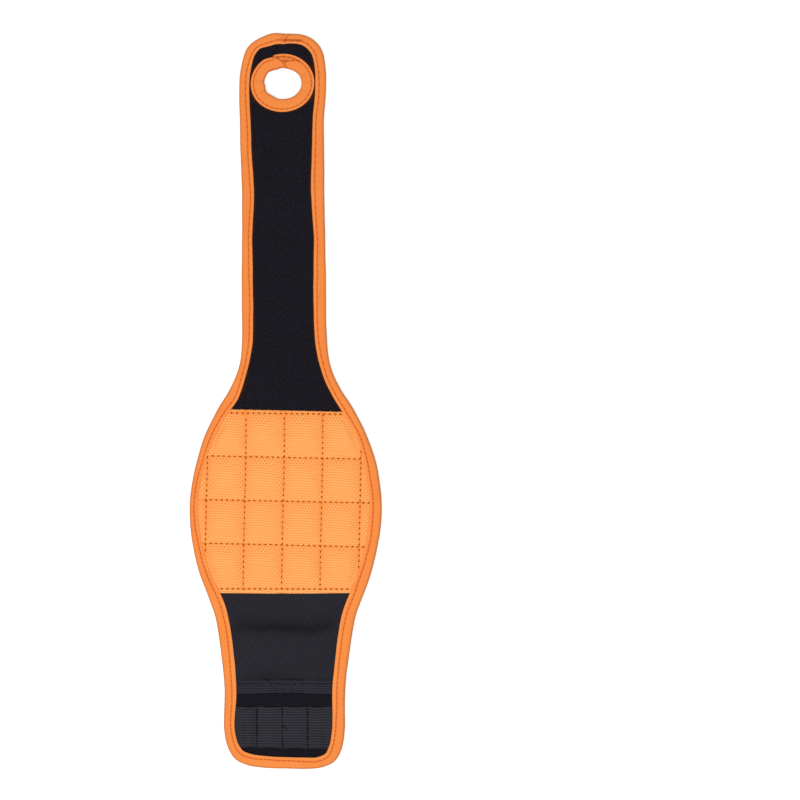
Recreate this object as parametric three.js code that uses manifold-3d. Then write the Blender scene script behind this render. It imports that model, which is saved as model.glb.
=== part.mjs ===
// Magnetic tool wristband, lying flat with its outer face up. Millimetres: +Y runs along the band
// towards the thumb ring, +X across it, +Z out of its outer face. The origin is the middle of the
// footprint, on the surface that the band lies on.
import * as THREE from "three";
import { mergeVertices } from "three/addons/utils/BufferGeometryUtils.js";
import Module from "manifold-3d";

const wasm = await Module();
wasm.setup();

// Whole band
const LENGTH = 356;
const HALF_LENGTH = LENGTH / 2;
const HALF_WIDTH = 46.5;

// Right-hand edge of the band from the thumb-ring end to the flap end: distance from the middle as a
// share of the half length, and half width as a share of the widest half width
const EDGE_SHARES = [
  [1, 0],
  [0.9978, 0.183],
  [0.981, 0.317],
  [0.955, 0.402],
  [0.899, 0.447],
  [0.845, 0.4535],
  [0.763, 0.443],
  [0.546, 0.4365],
  [0.275, 0.447],
  [0.139, 0.452],
  [0.084, 0.492],
  [0.03, 0.585],
  [-0.025, 0.716],
  [-0.106, 0.867],
  [-0.185, 0.957],
  [-0.283, 1],
  [-0.371, 0.978],
  [-0.459, 0.903],
  [-0.539, 0.794],
  [-0.595, 0.723],
  [-0.685, 0.669],
  [-0.785, 0.628],
  [-0.894, 0.628],
  [-0.944, 0.589],
  [-0.975, 0.514],
  [-0.992, 0.385],
  [-0.9985, 0.23],
  [-1, 0],
];
const EDGE_SAMPLES = 900;
const EDGE_TURN = THREE.MathUtils.degToRad(8);
const EDGE_STEP = 7;
const STRAIGHT_STEP = 15;

// Laminated base sheet: loop pile, foam and lining
const TAPE = 0.9;
const BASE_THICKNESS = 2.8;
const BASE_BOTTOM = TAPE;
const BASE_TOP = BASE_BOTTOM + BASE_THICKNESS;
const CLEARANCE = 0.3;

// Layers sewn onto the front of the base
const CLOTH = 0.8;

// Binding: a tape folded round the edge of all the layers
const BINDING_WIDTH = 5.6;
const BINDING_ROUND = 0.8;
const BINDING_ROUND_SHARE = 0.3;
const RAMP_START = 20;
const RAMP_END = 9;
const PAD_NARROWING = 0.9;
const NARROWING_REACH = 12;

// Thumb ring: a tape folded round the edge of the hole
const RING_FROM_END = 24.2;
const RING_Y = HALF_LENGTH - RING_FROM_END;
const HOLE_RADIUS_X = 9.1;
const HOLE_RADIUS_Y = 7.45;
const RING_WIDTH = 6.7;
const RING_STEPS = 40;

// Magnet pad: four rows of four stitched cells
const PAD_TOP_SHARE = -0.025843;
const PAD_BOTTOM_SHARE = -0.522472;
const PAD_TOP = PAD_TOP_SHARE * HALF_LENGTH;
const PAD_BOTTOM = PAD_BOTTOM_SHARE * HALF_LENGTH;
const TOP_SEAM_MARGIN = 1.5;
const BOTTOM_SEAM_MARGIN = 2.1;
const ROWS = 4;
const FIRST_SEAM = PAD_TOP - TOP_SEAM_MARGIN;
const ROW_PITCH = (FIRST_SEAM - PAD_BOTTOM - BOTTOM_SEAM_MARGIN) / ROWS;
const COLUMNS = 4;
const COLUMN_SHARE = 0.4;
const COLUMN_PITCH = COLUMN_SHARE * HALF_WIDTH;
const SEAM_SHIFT = -1.1;
const MAGNET_SHARE = 0.2688;
const MAGNET_RADIUS = MAGNET_SHARE * COLUMN_PITCH;
const MAGNET_THICKNESS = 1.5;
const MAGNET_SIDES = 24;
const TOP_CORNER_SHARES = [0.086, 0.123];
const BOTTOM_CORNER_SHARES = [0.043, 0.047];
const CROWN_AIR = 0.1;
const CROWN_MARGIN = 0.6;
const CROWN_FLAT = MAGNET_RADIUS + CROWN_MARGIN;
const CROWN_EDGE = 1.6;
const CROWN_RAMP = 1.6;
const SEAM_VALLEY = 0.5;
const SLOPE_SHARES = [0, 0.35, 0.7];
const INNER_STEPS = 2;
const OUTER_STEPS = 5;
const MARGIN_STEPS = 4;

// Places along the flap, up from its end: the elastic's two edges and the fold line
const ELASTIC_FROM_END = 10;
const ELASTIC_WIDTH = 20;
const ELASTIC_TO_FOLD = 3.1;
const ELASTIC_BOTTOM = ELASTIC_FROM_END - HALF_LENGTH;
const ELASTIC_TOP = ELASTIC_BOTTOM + ELASTIC_WIDTH;
const FLAP_FOLD = ELASTIC_TOP + ELASTIC_TO_FOLD;

// Pocket on the flap, open at its lower mouth
const POCKET_BULGE = 1.5;
const CREASE_FROM_PAD = 16;
const CREASE_Y = PAD_BOTTOM - CREASE_FROM_PAD;
const CREASE_DEPTH = 0.7;
const CREASE_REACH = 5;
const BULGE_RISE = 9;
const HEM_WIDTH = 7;
const HEM_TO_FOLD = 3.1;
const HEM_BOTTOM = FLAP_FOLD + HEM_TO_FOLD;
const HEM_TOP = HEM_BOTTOM + HEM_WIDTH;
const HEM_TAPE = 0.5;
const PATCH_THICKNESS = 0.45;
const PATCH_HALF_LENGTH = 8.2;
const PATCH_TOP_MARGIN = 0.8;
const PATCH_BOTTOM_MARGIN = 1.1;
const PATCH_TOP = HEM_TOP - PATCH_TOP_MARGIN;
const PATCH_BOTTOM = HEM_BOTTOM + PATCH_BOTTOM_MARGIN;
const PATCH_RISE = 8;
const POCKET_STEP_X = 3.1;
const POCKET_STEP_Y = 3.2;

// Elastic bit loops: one band stitched down between four arches
const LOOP_PITCH = 12.4;
const LOOP_SEAM_X = -1;
const LOOP_BULGE = 1.6;
const LOOP_STEPS = 8;
const LOOP_SCALLOP = 0.5;

// Hook strip on the back of the flap
const HOOK_FROM_END = 7.4;
const HOOK_LENGTH = 48;
const HOOK_BOTTOM = HOOK_FROM_END - HALF_LENGTH;
const HOOK_TOP = HOOK_BOTTOM + HOOK_LENGTH;
const HOOK_WIDTH = 30;
const HOOK_X = 0.3;

// Fold lines, where one body ends and the next begins
const FOLD_GAP = 0.3;
const RING_END_LENGTH = 44;
const STRAP_PARTS = ["strap_near", "strap_middle", "strap_far"];
const STRAP_STEP = (HALF_LENGTH - RING_END_LENGTH - PAD_TOP) / STRAP_PARTS.length;
const OVERRUN = 5;

const OVERALL_HEIGHT = BASE_TOP + CLOTH + TAPE + MAGNET_THICKNESS;
const WELD = 1e-4;

const MATERIALS = {
  pile: ["#1b1a1e", 1],
  binding: ["#ff8a35", 0.85],
  cover: ["#ff9d4a", 0.8],
  oxford: ["#201f25", 0.8],
  tape: ["#2c2c33", 0.75],
  hook: ["#232328", 0.7],
  magnet: ["#c9cbce", 0.25],
};

// Returns a solid for a closed geometry.
function solidFrom(geometry) {
  const bare = geometry.clone();
  bare.deleteAttribute("normal");
  bare.deleteAttribute("uv");
  const merged = mergeVertices(bare, WELD);
  return new wasm.Manifold(
    new wasm.Mesh({
      numProp: 3,
      vertProperties: merged.attributes.position.array,
      triVerts: Uint32Array.from(merged.index.array),
    }),
  );
}

// Returns the geometry of a solid.
function geometryFrom(solid) {
  const mesh = solid.getMesh();
  const geometry = new THREE.BufferGeometry();
  geometry.setAttribute("position", new THREE.BufferAttribute(mesh.vertProperties, mesh.numProp));
  geometry.setIndex(new THREE.BufferAttribute(mesh.triVerts, 1));
  geometry.computeVertexNormals();
  return geometry;
}

// Returns a box between two corners, each given as [x, y, z].
function block(low, high) {
  const size = high.map((value, axis) => value - low[axis]);
  const middle = high.map((value, axis) => (value + low[axis]) / 2);
  return solidFrom(new THREE.BoxGeometry(...size).translate(...middle));
}

// Smooth step from 0 at start to 1 at end; start may be the larger.
function ease(value, start, end) {
  const share = THREE.MathUtils.clamp((value - start) / (end - start), 0, 1);
  return share * share * (3 - 2 * share);
}

// Points of the band's edge, clockwise seen from above, from the middle of the thumb-ring end.
// Points are kept where the edge has turned or run on far enough since the last one.
function edgePoints() {
  const right = EDGE_SHARES.map(
    ([along, across]) => new THREE.Vector3(across * HALF_WIDTH, along * HALF_LENGTH, 0),
  );
  const left = right
    .slice(1, -1)
    .reverse()
    .map((point) => new THREE.Vector3(-point.x, point.y, 0));
  const curve = new THREE.CatmullRomCurve3([...right, ...left], true, "centripetal");
  const dense = curve.getSpacedPoints(EDGE_SAMPLES * 2).slice(0, EDGE_SAMPLES + 1);
  const kept = [dense[0]];
  let turn = 0;
  for (let i = 1; i < EDGE_SAMPLES; i++) {
    const before = dense[i].clone().sub(dense[i - 1]);
    const after = dense[i + 1].clone().sub(dense[i]);
    turn += before.angleTo(after);
    const longest = dense[i].y > RAMP_START ? STRAIGHT_STEP : EDGE_STEP;
    const far = dense[i].distanceTo(kept[kept.length - 1]) > longest;
    if (turn > EDGE_TURN || far) {
      kept.push(dense[i]);
      turn = 0;
    }
  }
  kept.push(dense[EDGE_SAMPLES]);
  const mirrored = kept
    .slice(1, -1)
    .reverse()
    .map((point) => new THREE.Vector3(-point.x, point.y, 0));
  return [...kept, ...mirrored].map((point) => new THREE.Vector2(point.x, point.y));
}

// Gives each point of a clockwise closed line its normal, pointing inwards.
function framesOf(points) {
  return points.map((point, i) => {
    const before = points[(i + points.length - 1) % points.length];
    const after = points[(i + 1) % points.length];
    const along = after.clone().sub(before).normalize();
    return { point, inward: new THREE.Vector2(along.y, -along.x) };
  });
}

// Shape whose outline lies a distance inside the frames' line.
function insetShape(frames, distance) {
  return new THREE.Shape(
    frames.map(({ point, inward }) => point.clone().addScaledVector(inward, distance)),
  );
}

// Flat sheet from a shape, between two heights.
function sheet(shape, bottom, top) {
  const options = { depth: top - bottom, bevelEnabled: false };
  return solidFrom(new THREE.ExtrudeGeometry(shape, options).translate(0, 0, bottom));
}

// Closed solid from rows of points: ring i of the list holds one closed profile, and the rings
// follow one another round a closed line.
function closedSweep(rings) {
  const sides = rings[0].length;
  const positions = rings.flat().flatMap((point) => point.toArray());
  const index = [];
  for (let i = 0; i < rings.length; i++) {
    const next = (i + 1) % rings.length;
    for (let j = 0; j < sides; j++) {
      const k = (j + 1) % sides;
      index.push(i * sides + j, next * sides + j, next * sides + k);
      index.push(i * sides + j, next * sides + k, i * sides + k);
    }
  }
  const geometry = new THREE.BufferGeometry();
  geometry.setAttribute("position", new THREE.Float32BufferAttribute(positions, 3));
  geometry.setIndex(index);
  return solidFrom(geometry);
}

// Section of a folded tape: [depth from the edge, height], with rounded outer corners. The slot
// between its two legs holds the layers.
function foldedTape(width, height) {
  const soft = BINDING_ROUND;
  const nick = BINDING_ROUND * BINDING_ROUND_SHARE;
  return [
    [0, soft],
    [nick, nick],
    [soft, 0],
    [width, 0],
    [width, TAPE],
    [TAPE, TAPE],
    [TAPE, height - TAPE],
    [width, height - TAPE],
    [width, height],
    [soft, height],
    [nick, height - nick],
    [0, height - soft],
  ];
}

// Height of the binding at a place along the band: it steps up where the front layers begin.
function bindingHeight(y) {
  return BASE_TOP + TAPE + CLOTH * ease(y, RAMP_START, RAMP_END);
}

// Width of the binding's legs at a place along the band: the pad's thickness takes up some of it.
function bindingWidth(y) {
  const above = ease(y, PAD_TOP, PAD_TOP - NARROWING_REACH);
  const below = ease(y, PAD_BOTTOM, PAD_BOTTOM + NARROWING_REACH);
  return BINDING_WIDTH - PAD_NARROWING * Math.min(above, below);
}

// The whole perimeter binding as one ring.
function perimeterBinding(frames) {
  return closedSweep(
    frames.map(({ point, inward }) =>
      foldedTape(bindingWidth(point.y), bindingHeight(point.y)).map(([depth, z]) => {
        const spot = point.clone().addScaledVector(inward, depth);
        return new THREE.Vector3(spot.x, spot.y, z);
      }),
    ),
  );
}

// Width of the ring's legs at its two sides: what the perimeter binding leaves free there.
function ringSideWidth(frames) {
  const legs = halfWidthAt(frames, RING_Y) - BINDING_WIDTH;
  return legs - CLEARANCE - HOLE_RADIUS_X;
}

// Points of an ellipse round the thumb hole, grown by the given widths.
function ringPoints(growX, growY) {
  return Array.from({ length: RING_STEPS }, (_, i) => {
    const angle = (i / RING_STEPS) * 2 * Math.PI;
    return new THREE.Vector2(
      (HOLE_RADIUS_X + growX) * Math.cos(angle),
      RING_Y + (HOLE_RADIUS_Y + growY) * Math.sin(angle),
    );
  });
}

// Tape folded round the edge of the thumb hole.
function thumbRing(frames) {
  const inner = ringPoints(0, 0);
  const outer = ringPoints(ringSideWidth(frames), RING_WIDTH);
  return closedSweep(
    inner.map((point, i) => {
      const width = point.distanceTo(outer[i]);
      return foldedTape(width, BASE_TOP + TAPE).map(([depth, z]) => {
        const spot = point.clone().lerp(outer[i], depth / width);
        return new THREE.Vector3(spot.x, spot.y, z);
      });
    }),
  );
}

// Laminated base sheet, with the hole for the thumb.
function baseSheet(frames) {
  const shape = insetShape(frames, TAPE + CLEARANCE);
  const grow = TAPE + CLEARANCE;
  shape.holes.push(new THREE.Path(ringPoints(grow, grow)));
  return sheet(shape, BASE_BOTTOM, BASE_TOP);
}

// Soft layer over a grid of places, between an underside floorAt(x, y) and a top topAt(x, y).
// Each row of the grid is a place along the band, or a function of the place across it.
function layer(xs, ys, floorAt, topAt) {
  const columns = xs.length;
  const positions = [];
  for (const heightAt of [floorAt, topAt])
    for (const row of ys)
      for (const x of xs) {
        const y = typeof row === "function" ? row(x) : row;
        positions.push(x, y, heightAt(x, y));
      }
  const index = [];
  const quad = (a, b, c, d) => index.push(a, b, c, a, c, d);
  const upper = columns * ys.length;
  const at = (i, j) => j * columns + i;
  const lastX = columns - 1;
  const lastY = ys.length - 1;
  for (let j = 0; j < lastY; j++)
    for (let i = 0; i < lastX; i++) {
      const corners = [at(i, j), at(i + 1, j), at(i + 1, j + 1), at(i, j + 1)];
      quad(...corners.map((corner) => corner + upper));
      quad(...corners.reverse());
    }
  for (let i = 0; i < lastX; i++) {
    quad(at(i, 0), at(i + 1, 0), at(i + 1, 0) + upper, at(i, 0) + upper);
    quad(at(i + 1, lastY), at(i, lastY), at(i, lastY) + upper, at(i + 1, lastY) + upper);
  }
  for (let j = 0; j < lastY; j++) {
    quad(at(lastX, j), at(lastX, j + 1), at(lastX, j + 1) + upper, at(lastX, j) + upper);
    quad(at(0, j + 1), at(0, j), at(0, j) + upper, at(0, j + 1) + upper);
  }
  const geometry = new THREE.BufferGeometry();
  geometry.setAttribute("position", new THREE.Float32BufferAttribute(positions, 3));
  geometry.setIndex(index);
  return solidFrom(geometry);
}

// Layer of one thickness, whose underside follows floorAt(x, y).
function cloth(xs, ys, floorAt, thickness) {
  return layer(xs, ys, floorAt, (x, y) => floorAt(x, y) + thickness);
}

// Evenly spaced places from start to end.
function places(start, end, step) {
  const count = Math.ceil(Math.abs(end - start) / step - WELD);
  return Array.from({ length: count + 1 }, (_, i) => start + ((end - start) * i) / count);
}

// Half width of the band at a height, read off its edge.
function halfWidthAt(frames, y) {
  let widest = 0;
  frames.forEach(({ point }, i) => {
    const next = frames[(i + 1) % frames.length].point;
    if ((point.y - y) * (next.y - y) > 0 || point.y === next.y) return;
    const share = (y - point.y) / (next.y - point.y);
    widest = Math.max(widest, point.x + (next.x - point.x) * share);
  });
  return widest;
}

// Seam between columns of cells, counted from the left.
function columnSeam(column) {
  return SEAM_SHIFT + (column - COLUMNS / 2) * COLUMN_PITCH;
}

// Seam above a row of cells, counted from the thumb-ring side.
function rowSeam(row) {
  return FIRST_SEAM - row * ROW_PITCH;
}

// Middle of the magnet in a cell. Those in the four corner cells sit further in.
function magnetCentre(row, column) {
  const x = columnSeam(column) + COLUMN_PITCH / 2;
  const y = rowSeam(row) - ROW_PITCH / 2;
  if (row % (ROWS - 1) !== 0 || column % (COLUMNS - 1) !== 0) return [x, y];
  const [acrossShare, alongShare] = row === 0 ? TOP_CORNER_SHARES : BOTTOM_CORNER_SHARES;
  const inward = acrossShare * COLUMN_PITCH;
  const along = alongShare * ROW_PITCH;
  return [column === 0 ? x + inward : x - inward, row === 0 ? y - along : y + along];
}

// Upright disc over a cell's magnet place, between two heights.
function disc(row, column, radius, bottom, top) {
  const [x, y] = magnetCentre(row, column);
  const geometry = new THREE.CylinderGeometry(radius, radius, top - bottom, MAGNET_SIDES);
  geometry.rotateX(Math.PI / 2);
  geometry.translate(x, y, (bottom + top) / 2);
  return solidFrom(geometry);
}

// One disc magnet, standing on the base.
function magnet(row, column) {
  return disc(row, column, MAGNET_RADIUS, BASE_TOP, BASE_TOP + MAGNET_THICKNESS);
}

// Share of the full crown at a place between two seams: level over the magnet, easing down to the
// seam valley on each side.
function crownShare(value, low, high, middle) {
  const rise = ease(value, low + SEAM_VALLEY, middle - CROWN_FLAT);
  const fall = ease(value, high - SEAM_VALLEY, middle + CROWN_FLAT);
  return Math.min(rise, fall);
}

// Rise of the cover over its seams: a crown in every cell, none by the binding.
function crownAt(frames, x, y) {
  const column = Math.floor((x - columnSeam(0)) / COLUMN_PITCH);
  const row = Math.floor((FIRST_SEAM - y) / ROW_PITCH);
  if (column < 0 || column >= COLUMNS || row < 0 || row >= ROWS) return 0;
  const [middleX, middleY] = magnetCentre(row, column);
  const across = crownShare(x, columnSeam(column), columnSeam(column + 1), middleX);
  const along = crownShare(y, rowSeam(row + 1), rowSeam(row), middleY);
  const clear = ease(legDistance(frames, x, y), CROWN_EDGE, CROWN_EDGE + CROWN_RAMP);
  return (MAGNET_THICKNESS + CROWN_AIR) * across * along * clear;
}

// Distance from a place to the inner edge of the binding's legs.
function legDistance(frames, x, y) {
  let nearest = Infinity;
  frames.forEach(({ point }, i) => {
    const next = frames[(i + 1) % frames.length].point;
    const run = next.clone().sub(point);
    const from = new THREE.Vector2(x, y).sub(point);
    const share = THREE.MathUtils.clamp(from.dot(run) / run.lengthSq(), 0, 1);
    const width = bindingWidth(point.y + share * run.y);
    nearest = Math.min(nearest, from.addScaledVector(run, -share).length() - width);
  });
  return nearest;
}

// Grid places across one cell: its lower seam, the two slopes and the level part between them. The
// outer cells, which the edge cuts, have more steps on the level part.
function cellPlaces(low, high, outer) {
  const middle = (low + high) / 2;
  const foot = low + SEAM_VALLEY;
  const slope = middle - CROWN_FLAT - foot;
  const rise = SLOPE_SHARES.map((share) => foot + share * slope);
  const fall = SLOPE_SHARES.map((share) => high - SEAM_VALLEY - share * slope).reverse();
  const step = (2 * CROWN_FLAT) / (outer ? OUTER_STEPS : INNER_STEPS);
  return [low, ...rise, ...places(middle - CROWN_FLAT, middle + CROWN_FLAT, step), ...fall];
}

// Places across the pad: close together by the seams, and on to the widest edge.
function padColumns() {
  const margin = HALF_WIDTH + CLEARANCE;
  const cells = Array.from({ length: COLUMNS }, (_, column) => {
    const outer = column % (COLUMNS - 1) === 0;
    return cellPlaces(columnSeam(column), columnSeam(column + 1), outer);
  }).flat();
  const step = (margin - columnSeam(COLUMNS)) / MARGIN_STEPS;
  const left = places(-margin, columnSeam(0), step).slice(0, -1);
  return [...left, ...cells, ...places(columnSeam(COLUMNS), margin, step)];
}

// Places along one row of the pad, between its two fold lines.
function padRows(row) {
  const cell = cellPlaces(rowSeam(row + 1), rowSeam(row), row % (ROWS - 1) === 0);
  const [top, bottom] = rowSpan(row);
  const inside = [...cell, rowSeam(row)].filter((y) => y < top - CLEARANCE && y > bottom + CLEARANCE);
  return [bottom, ...inside, top];
}

// Fold lines above and below a row of cells.
function rowSpan(row) {
  const top = row === 0 ? PAD_TOP : rowSeam(row);
  const bottom = row === ROWS - 1 ? PAD_BOTTOM : rowSeam(row + 1);
  return [top, bottom];
}

// Padded cover of one row of cells, cut to the outline under the binding, with a recess in its
// underside for each magnet.
function coverRow(frames, row) {
  const topAt = (x, y) => BASE_TOP + CLOTH + crownAt(frames, x, y);
  const below = BASE_TOP - OVERRUN;
  const padded = layer(padColumns(), padRows(row), () => below, topAt);
  let cover = padded.intersect(innerColumn(frames, BASE_TOP));
  const ceiling = BASE_TOP + MAGNET_THICKNESS + CROWN_AIR;
  for (let column = 0; column < COLUMNS; column++) {
    const radius = MAGNET_RADIUS + CLEARANCE;
    cover = cover.subtract(disc(row, column, radius, below, ceiling));
  }
  return cover;
}

// Tall column inside the binding's walls, for cutting layers to the outline.
function innerColumn(frames, bottom) {
  return sheet(insetShape(frames, TAPE + CLEARANCE), bottom, OVERALL_HEIGHT + OVERRUN);
}

// Lift of the pocket's mouth over the closure patch.
function mouthLift(x) {
  const reach = PATCH_HALF_LENGTH + POCKET_STEP_X;
  return PATCH_THICKNESS * ease(Math.abs(x), reach + PATCH_RISE, reach);
}

// Height of the pocket panel's underside over the base: a slack bulge with one soft crease.
function pocketLift(frames, x, y) {
  const clear = ease(legDistance(frames, x, y), POCKET_STEP_X, POCKET_STEP_X + BULGE_RISE);
  const rise = ease(y, PAD_BOTTOM, PAD_BOTTOM - BULGE_RISE);
  const fall = ease(y, HEM_TOP + CLEARANCE, HEM_TOP + BULGE_RISE);
  const crease = CREASE_DEPTH * (1 - ease(Math.abs(y - CREASE_Y), 0, CREASE_REACH));
  const slack = (POCKET_BULGE - crease) * rise * fall * clear;
  return slack + mouthLift(x) * (1 - fall);
}

// Places across the pocket, the same ones for each of its layers, out to a reach on both sides.
function pocketColumns(reach) {
  const count = Math.floor((reach - CLEARANCE) / POCKET_STEP_X);
  const inner = Array.from({ length: 2 * count + 1 }, (_, i) => (i - count) * POCKET_STEP_X);
  return [-reach, ...inner, reach];
}

// Pocket panel, sewn in at its top and sides.
function pocketPanel(frames) {
  const xs = pocketColumns(halfWidthAt(frames, PAD_BOTTOM));
  const edge = HEM_BOTTOM + HEM_TAPE + CLEARANCE;
  const ys = [
    edge,
    ...places(HEM_TOP + CLEARANCE, PAD_BOTTOM - FOLD_GAP / 2, POCKET_STEP_Y),
  ];
  const floorAt = (x, y) => BASE_TOP + pocketLift(frames, x, y);
  return cloth(xs, ys, floorAt, CLOTH).intersect(innerColumn(frames, -OVERRUN));
}

// Tape folded over the pocket's mouth.
function hemTape(frames) {
  const xs = pocketColumns(halfWidthAt(frames, HEM_BOTTOM) - BINDING_WIDTH - CLEARANCE);
  const mouth = (x) => BASE_TOP + mouthLift(x);
  const top = cloth(xs, [HEM_BOTTOM, HEM_TOP], (x) => mouth(x) + CLOTH, HEM_TAPE);
  const wall = cloth(xs, [HEM_BOTTOM, HEM_BOTTOM + HEM_TAPE], mouth, CLOTH + HEM_TAPE);
  return top.add(wall);
}

// Hook patch on the inside of the pocket's mouth.
function closurePatch() {
  return block(
    [-PATCH_HALF_LENGTH, PATCH_BOTTOM, BASE_TOP],
    [PATCH_HALF_LENGTH, PATCH_TOP, BASE_TOP + PATCH_THICKNESS],
  );
}

// Seams of the elastic, from its left end to its right end; the outer two are at the binding.
function loopSeams(frames) {
  const reach = halfWidthAt(frames, ELASTIC_BOTTOM) - BINDING_WIDTH - CLEARANCE;
  const middle = [-1, 0, 1].map((step) => LOOP_SEAM_X + step * LOOP_PITCH);
  return [-reach, ...middle, reach];
}

// Arch of the elastic at a place across the flap, as a share of its full rise.
function archShare(seams, x) {
  const loop = seams.findIndex((seam, i) => x >= seam && x <= seams[i + 1]);
  if (loop < 0 || loop === seams.length - 1) return 0;
  const share = (x - seams[loop]) / (seams[loop + 1] - seams[loop]);
  return Math.sin(Math.PI * share) ** 2;
}

// Elastic band with four arches; its lower edge draws in a little over each arch.
function bitLoopElastic(frames) {
  const seams = loopSeams(frames);
  const end = halfWidthAt(frames, ELASTIC_BOTTOM) - TAPE - CLEARANCE * 2;
  const spans = seams.slice(0, -1).flatMap((seam, i) =>
    Array.from({ length: LOOP_STEPS }, (_, k) => seam + ((seams[i + 1] - seam) * k) / LOOP_STEPS),
  );
  const xs = [-end, ...spans, seams[seams.length - 1], end];
  const lower = (x) => ELASTIC_BOTTOM + LOOP_SCALLOP * archShare(seams, x);
  const floorAt = (x) => BASE_TOP + LOOP_BULGE * archShare(seams, x);
  return cloth(xs, [lower, ELASTIC_TOP], floorAt, CLOTH);
}

// Hook strip, on the back of the flap.
function hookStrip() {
  return block(
    [HOOK_X - HOOK_WIDTH / 2, HOOK_BOTTOM, BASE_BOTTOM - TAPE],
    [HOOK_X + HOOK_WIDTH / 2, HOOK_TOP, BASE_BOTTOM],
  );
}

// The part of a solid between two fold lines, and where asked between two places across.
function stretch(solid, low, high, left = -HALF_WIDTH - OVERRUN, right = HALF_WIDTH + OVERRUN) {
  return solid.intersect(block([left, low, -OVERRUN], [right, high, OVERALL_HEIGHT + OVERRUN]));
}

// Bodies of the band, each with its lower and its upper fold line.
function bodySpans() {
  const beyond = HALF_LENGTH + OVERRUN;
  const rows = Array.from({ length: ROWS }, (_, row) => {
    const [top, bottom] = rowSpan(row);
    return ["pad_row_" + (row + 1), bottom, top];
  });
  const strap = STRAP_PARTS.map((body, step) => {
    const bottom = PAD_TOP + step * STRAP_STEP;
    return [body, bottom, bottom + STRAP_STEP];
  });
  return [
    ["flap_end", -beyond, FLAP_FOLD],
    ["flap_pocket", FLAP_FOLD, PAD_BOTTOM],
    ...rows,
    ...strap,
    ["ring_end", PAD_TOP + STRAP_PARTS.length * STRAP_STEP, beyond],
  ];
}

// Builds the band as one group for each body, holding its named pieces.
function build() {
  const band = new THREE.Group();
  band.name = "magnetic_wristband";
  const frames = framesOf(edgePoints());
  const base = baseSheet(frames);
  const binding = perimeterBinding(frames);
  const hooks = hookStrip();
  const groups = {};

  const addPiece = (body, name, solid, finish) => {
    const [color, roughness] = MATERIALS[finish];
    const metalness = finish === "magnet" ? 1 : 0;
    const material = new THREE.MeshStandardMaterial({ color, roughness, metalness });
    const mesh = new THREE.Mesh(geometryFrom(solid), material);
    mesh.name = name;
    groups[body].add(mesh);
  };

  for (const [body, bottom, top] of bodySpans()) {
    const low = bottom + FOLD_GAP / 2;
    const high = top - FOLD_GAP / 2;
    groups[body] = new THREE.Group();
    groups[body].name = body;
    band.add(groups[body]);
    addPiece(body, body + "_base", stretch(base, low, high), "pile");
    if (body === "ring_end" || body === "flap_end") {
      addPiece(body, body + "_binding", stretch(binding, low, high), "binding");
    } else {
      const leftHalf = stretch(binding, low, high, -HALF_WIDTH - OVERRUN, 0);
      const rightHalf = stretch(binding, low, high, 0, HALF_WIDTH + OVERRUN);
      addPiece(body, body + "_binding_left", leftHalf, "binding");
      addPiece(body, body + "_binding_right", rightHalf, "binding");
    }
    if (body.startsWith("flap")) {
      addPiece(body, body + "_hook_strip", stretch(hooks, low, high), "hook");
    }
  }

  for (let row = 0; row < ROWS; row++) {
    const body = "pad_row_" + (row + 1);
    const [top, bottom] = rowSpan(row);
    const cover = stretch(coverRow(frames, row), bottom + FOLD_GAP / 2, top - FOLD_GAP / 2);
    addPiece(body, body + "_cover", cover, "cover");
    for (let column = 0; column < COLUMNS; column++) {
      addPiece(body, body + "_magnet_" + (column + 1), magnet(row, column), "magnet");
    }
  }

  addPiece("flap_pocket", "pocket_panel", pocketPanel(frames), "oxford");
  addPiece("flap_pocket", "pocket_hem_tape", hemTape(frames), "tape");
  addPiece("flap_pocket", "pocket_closure_patch", closurePatch(), "hook");
  addPiece("flap_end", "bit_loop_elastic", bitLoopElastic(frames), "tape");
  addPiece("ring_end", "thumb_ring_binding", thumbRing(frames), "binding");
  return band;
}

export default build();
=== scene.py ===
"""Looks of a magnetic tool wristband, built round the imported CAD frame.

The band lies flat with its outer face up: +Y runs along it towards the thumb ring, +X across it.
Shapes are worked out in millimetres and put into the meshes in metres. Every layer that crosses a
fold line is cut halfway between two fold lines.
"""

from __future__ import annotations

import logging
import math
from dataclasses import dataclass, field
from enum import Enum
from typing import Any, Callable

import bpy
import numpy as np
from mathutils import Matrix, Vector


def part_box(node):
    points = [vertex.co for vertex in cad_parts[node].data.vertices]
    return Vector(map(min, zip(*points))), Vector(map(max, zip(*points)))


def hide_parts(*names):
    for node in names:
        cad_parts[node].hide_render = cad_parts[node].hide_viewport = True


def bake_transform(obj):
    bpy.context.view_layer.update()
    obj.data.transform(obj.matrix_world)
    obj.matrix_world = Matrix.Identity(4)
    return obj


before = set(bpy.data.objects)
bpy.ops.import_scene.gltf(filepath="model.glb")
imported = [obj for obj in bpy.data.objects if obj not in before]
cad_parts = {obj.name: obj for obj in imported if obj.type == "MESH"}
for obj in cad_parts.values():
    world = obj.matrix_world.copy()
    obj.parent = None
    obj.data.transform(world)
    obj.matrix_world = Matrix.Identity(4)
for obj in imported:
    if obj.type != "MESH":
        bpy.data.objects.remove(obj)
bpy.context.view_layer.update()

Array = np.ndarray
Node = bpy.types.Node
Tree = bpy.types.NodeTree
Surface = Callable[[Array, Array], Array]
Row = tuple[float, ...]
LOG = logging.getLogger("wristband")
MM = 0.001
CLOTH_MAP = "cloth_mm"
PRESSED_AND_PAINTED_LIGHT = "pressed_and_painted_light"
WELD = 1e-4
CREASE_ANGLE = math.radians(48)
SEED = 7
TURN = 2 * math.pi


class Face(Enum):
    """A side of the band: its outer face, or its back, which lies on the wrist."""

    FRONT = 1
    BACK = -1


# ---------------------------------------------------------------- numbers and curves


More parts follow.
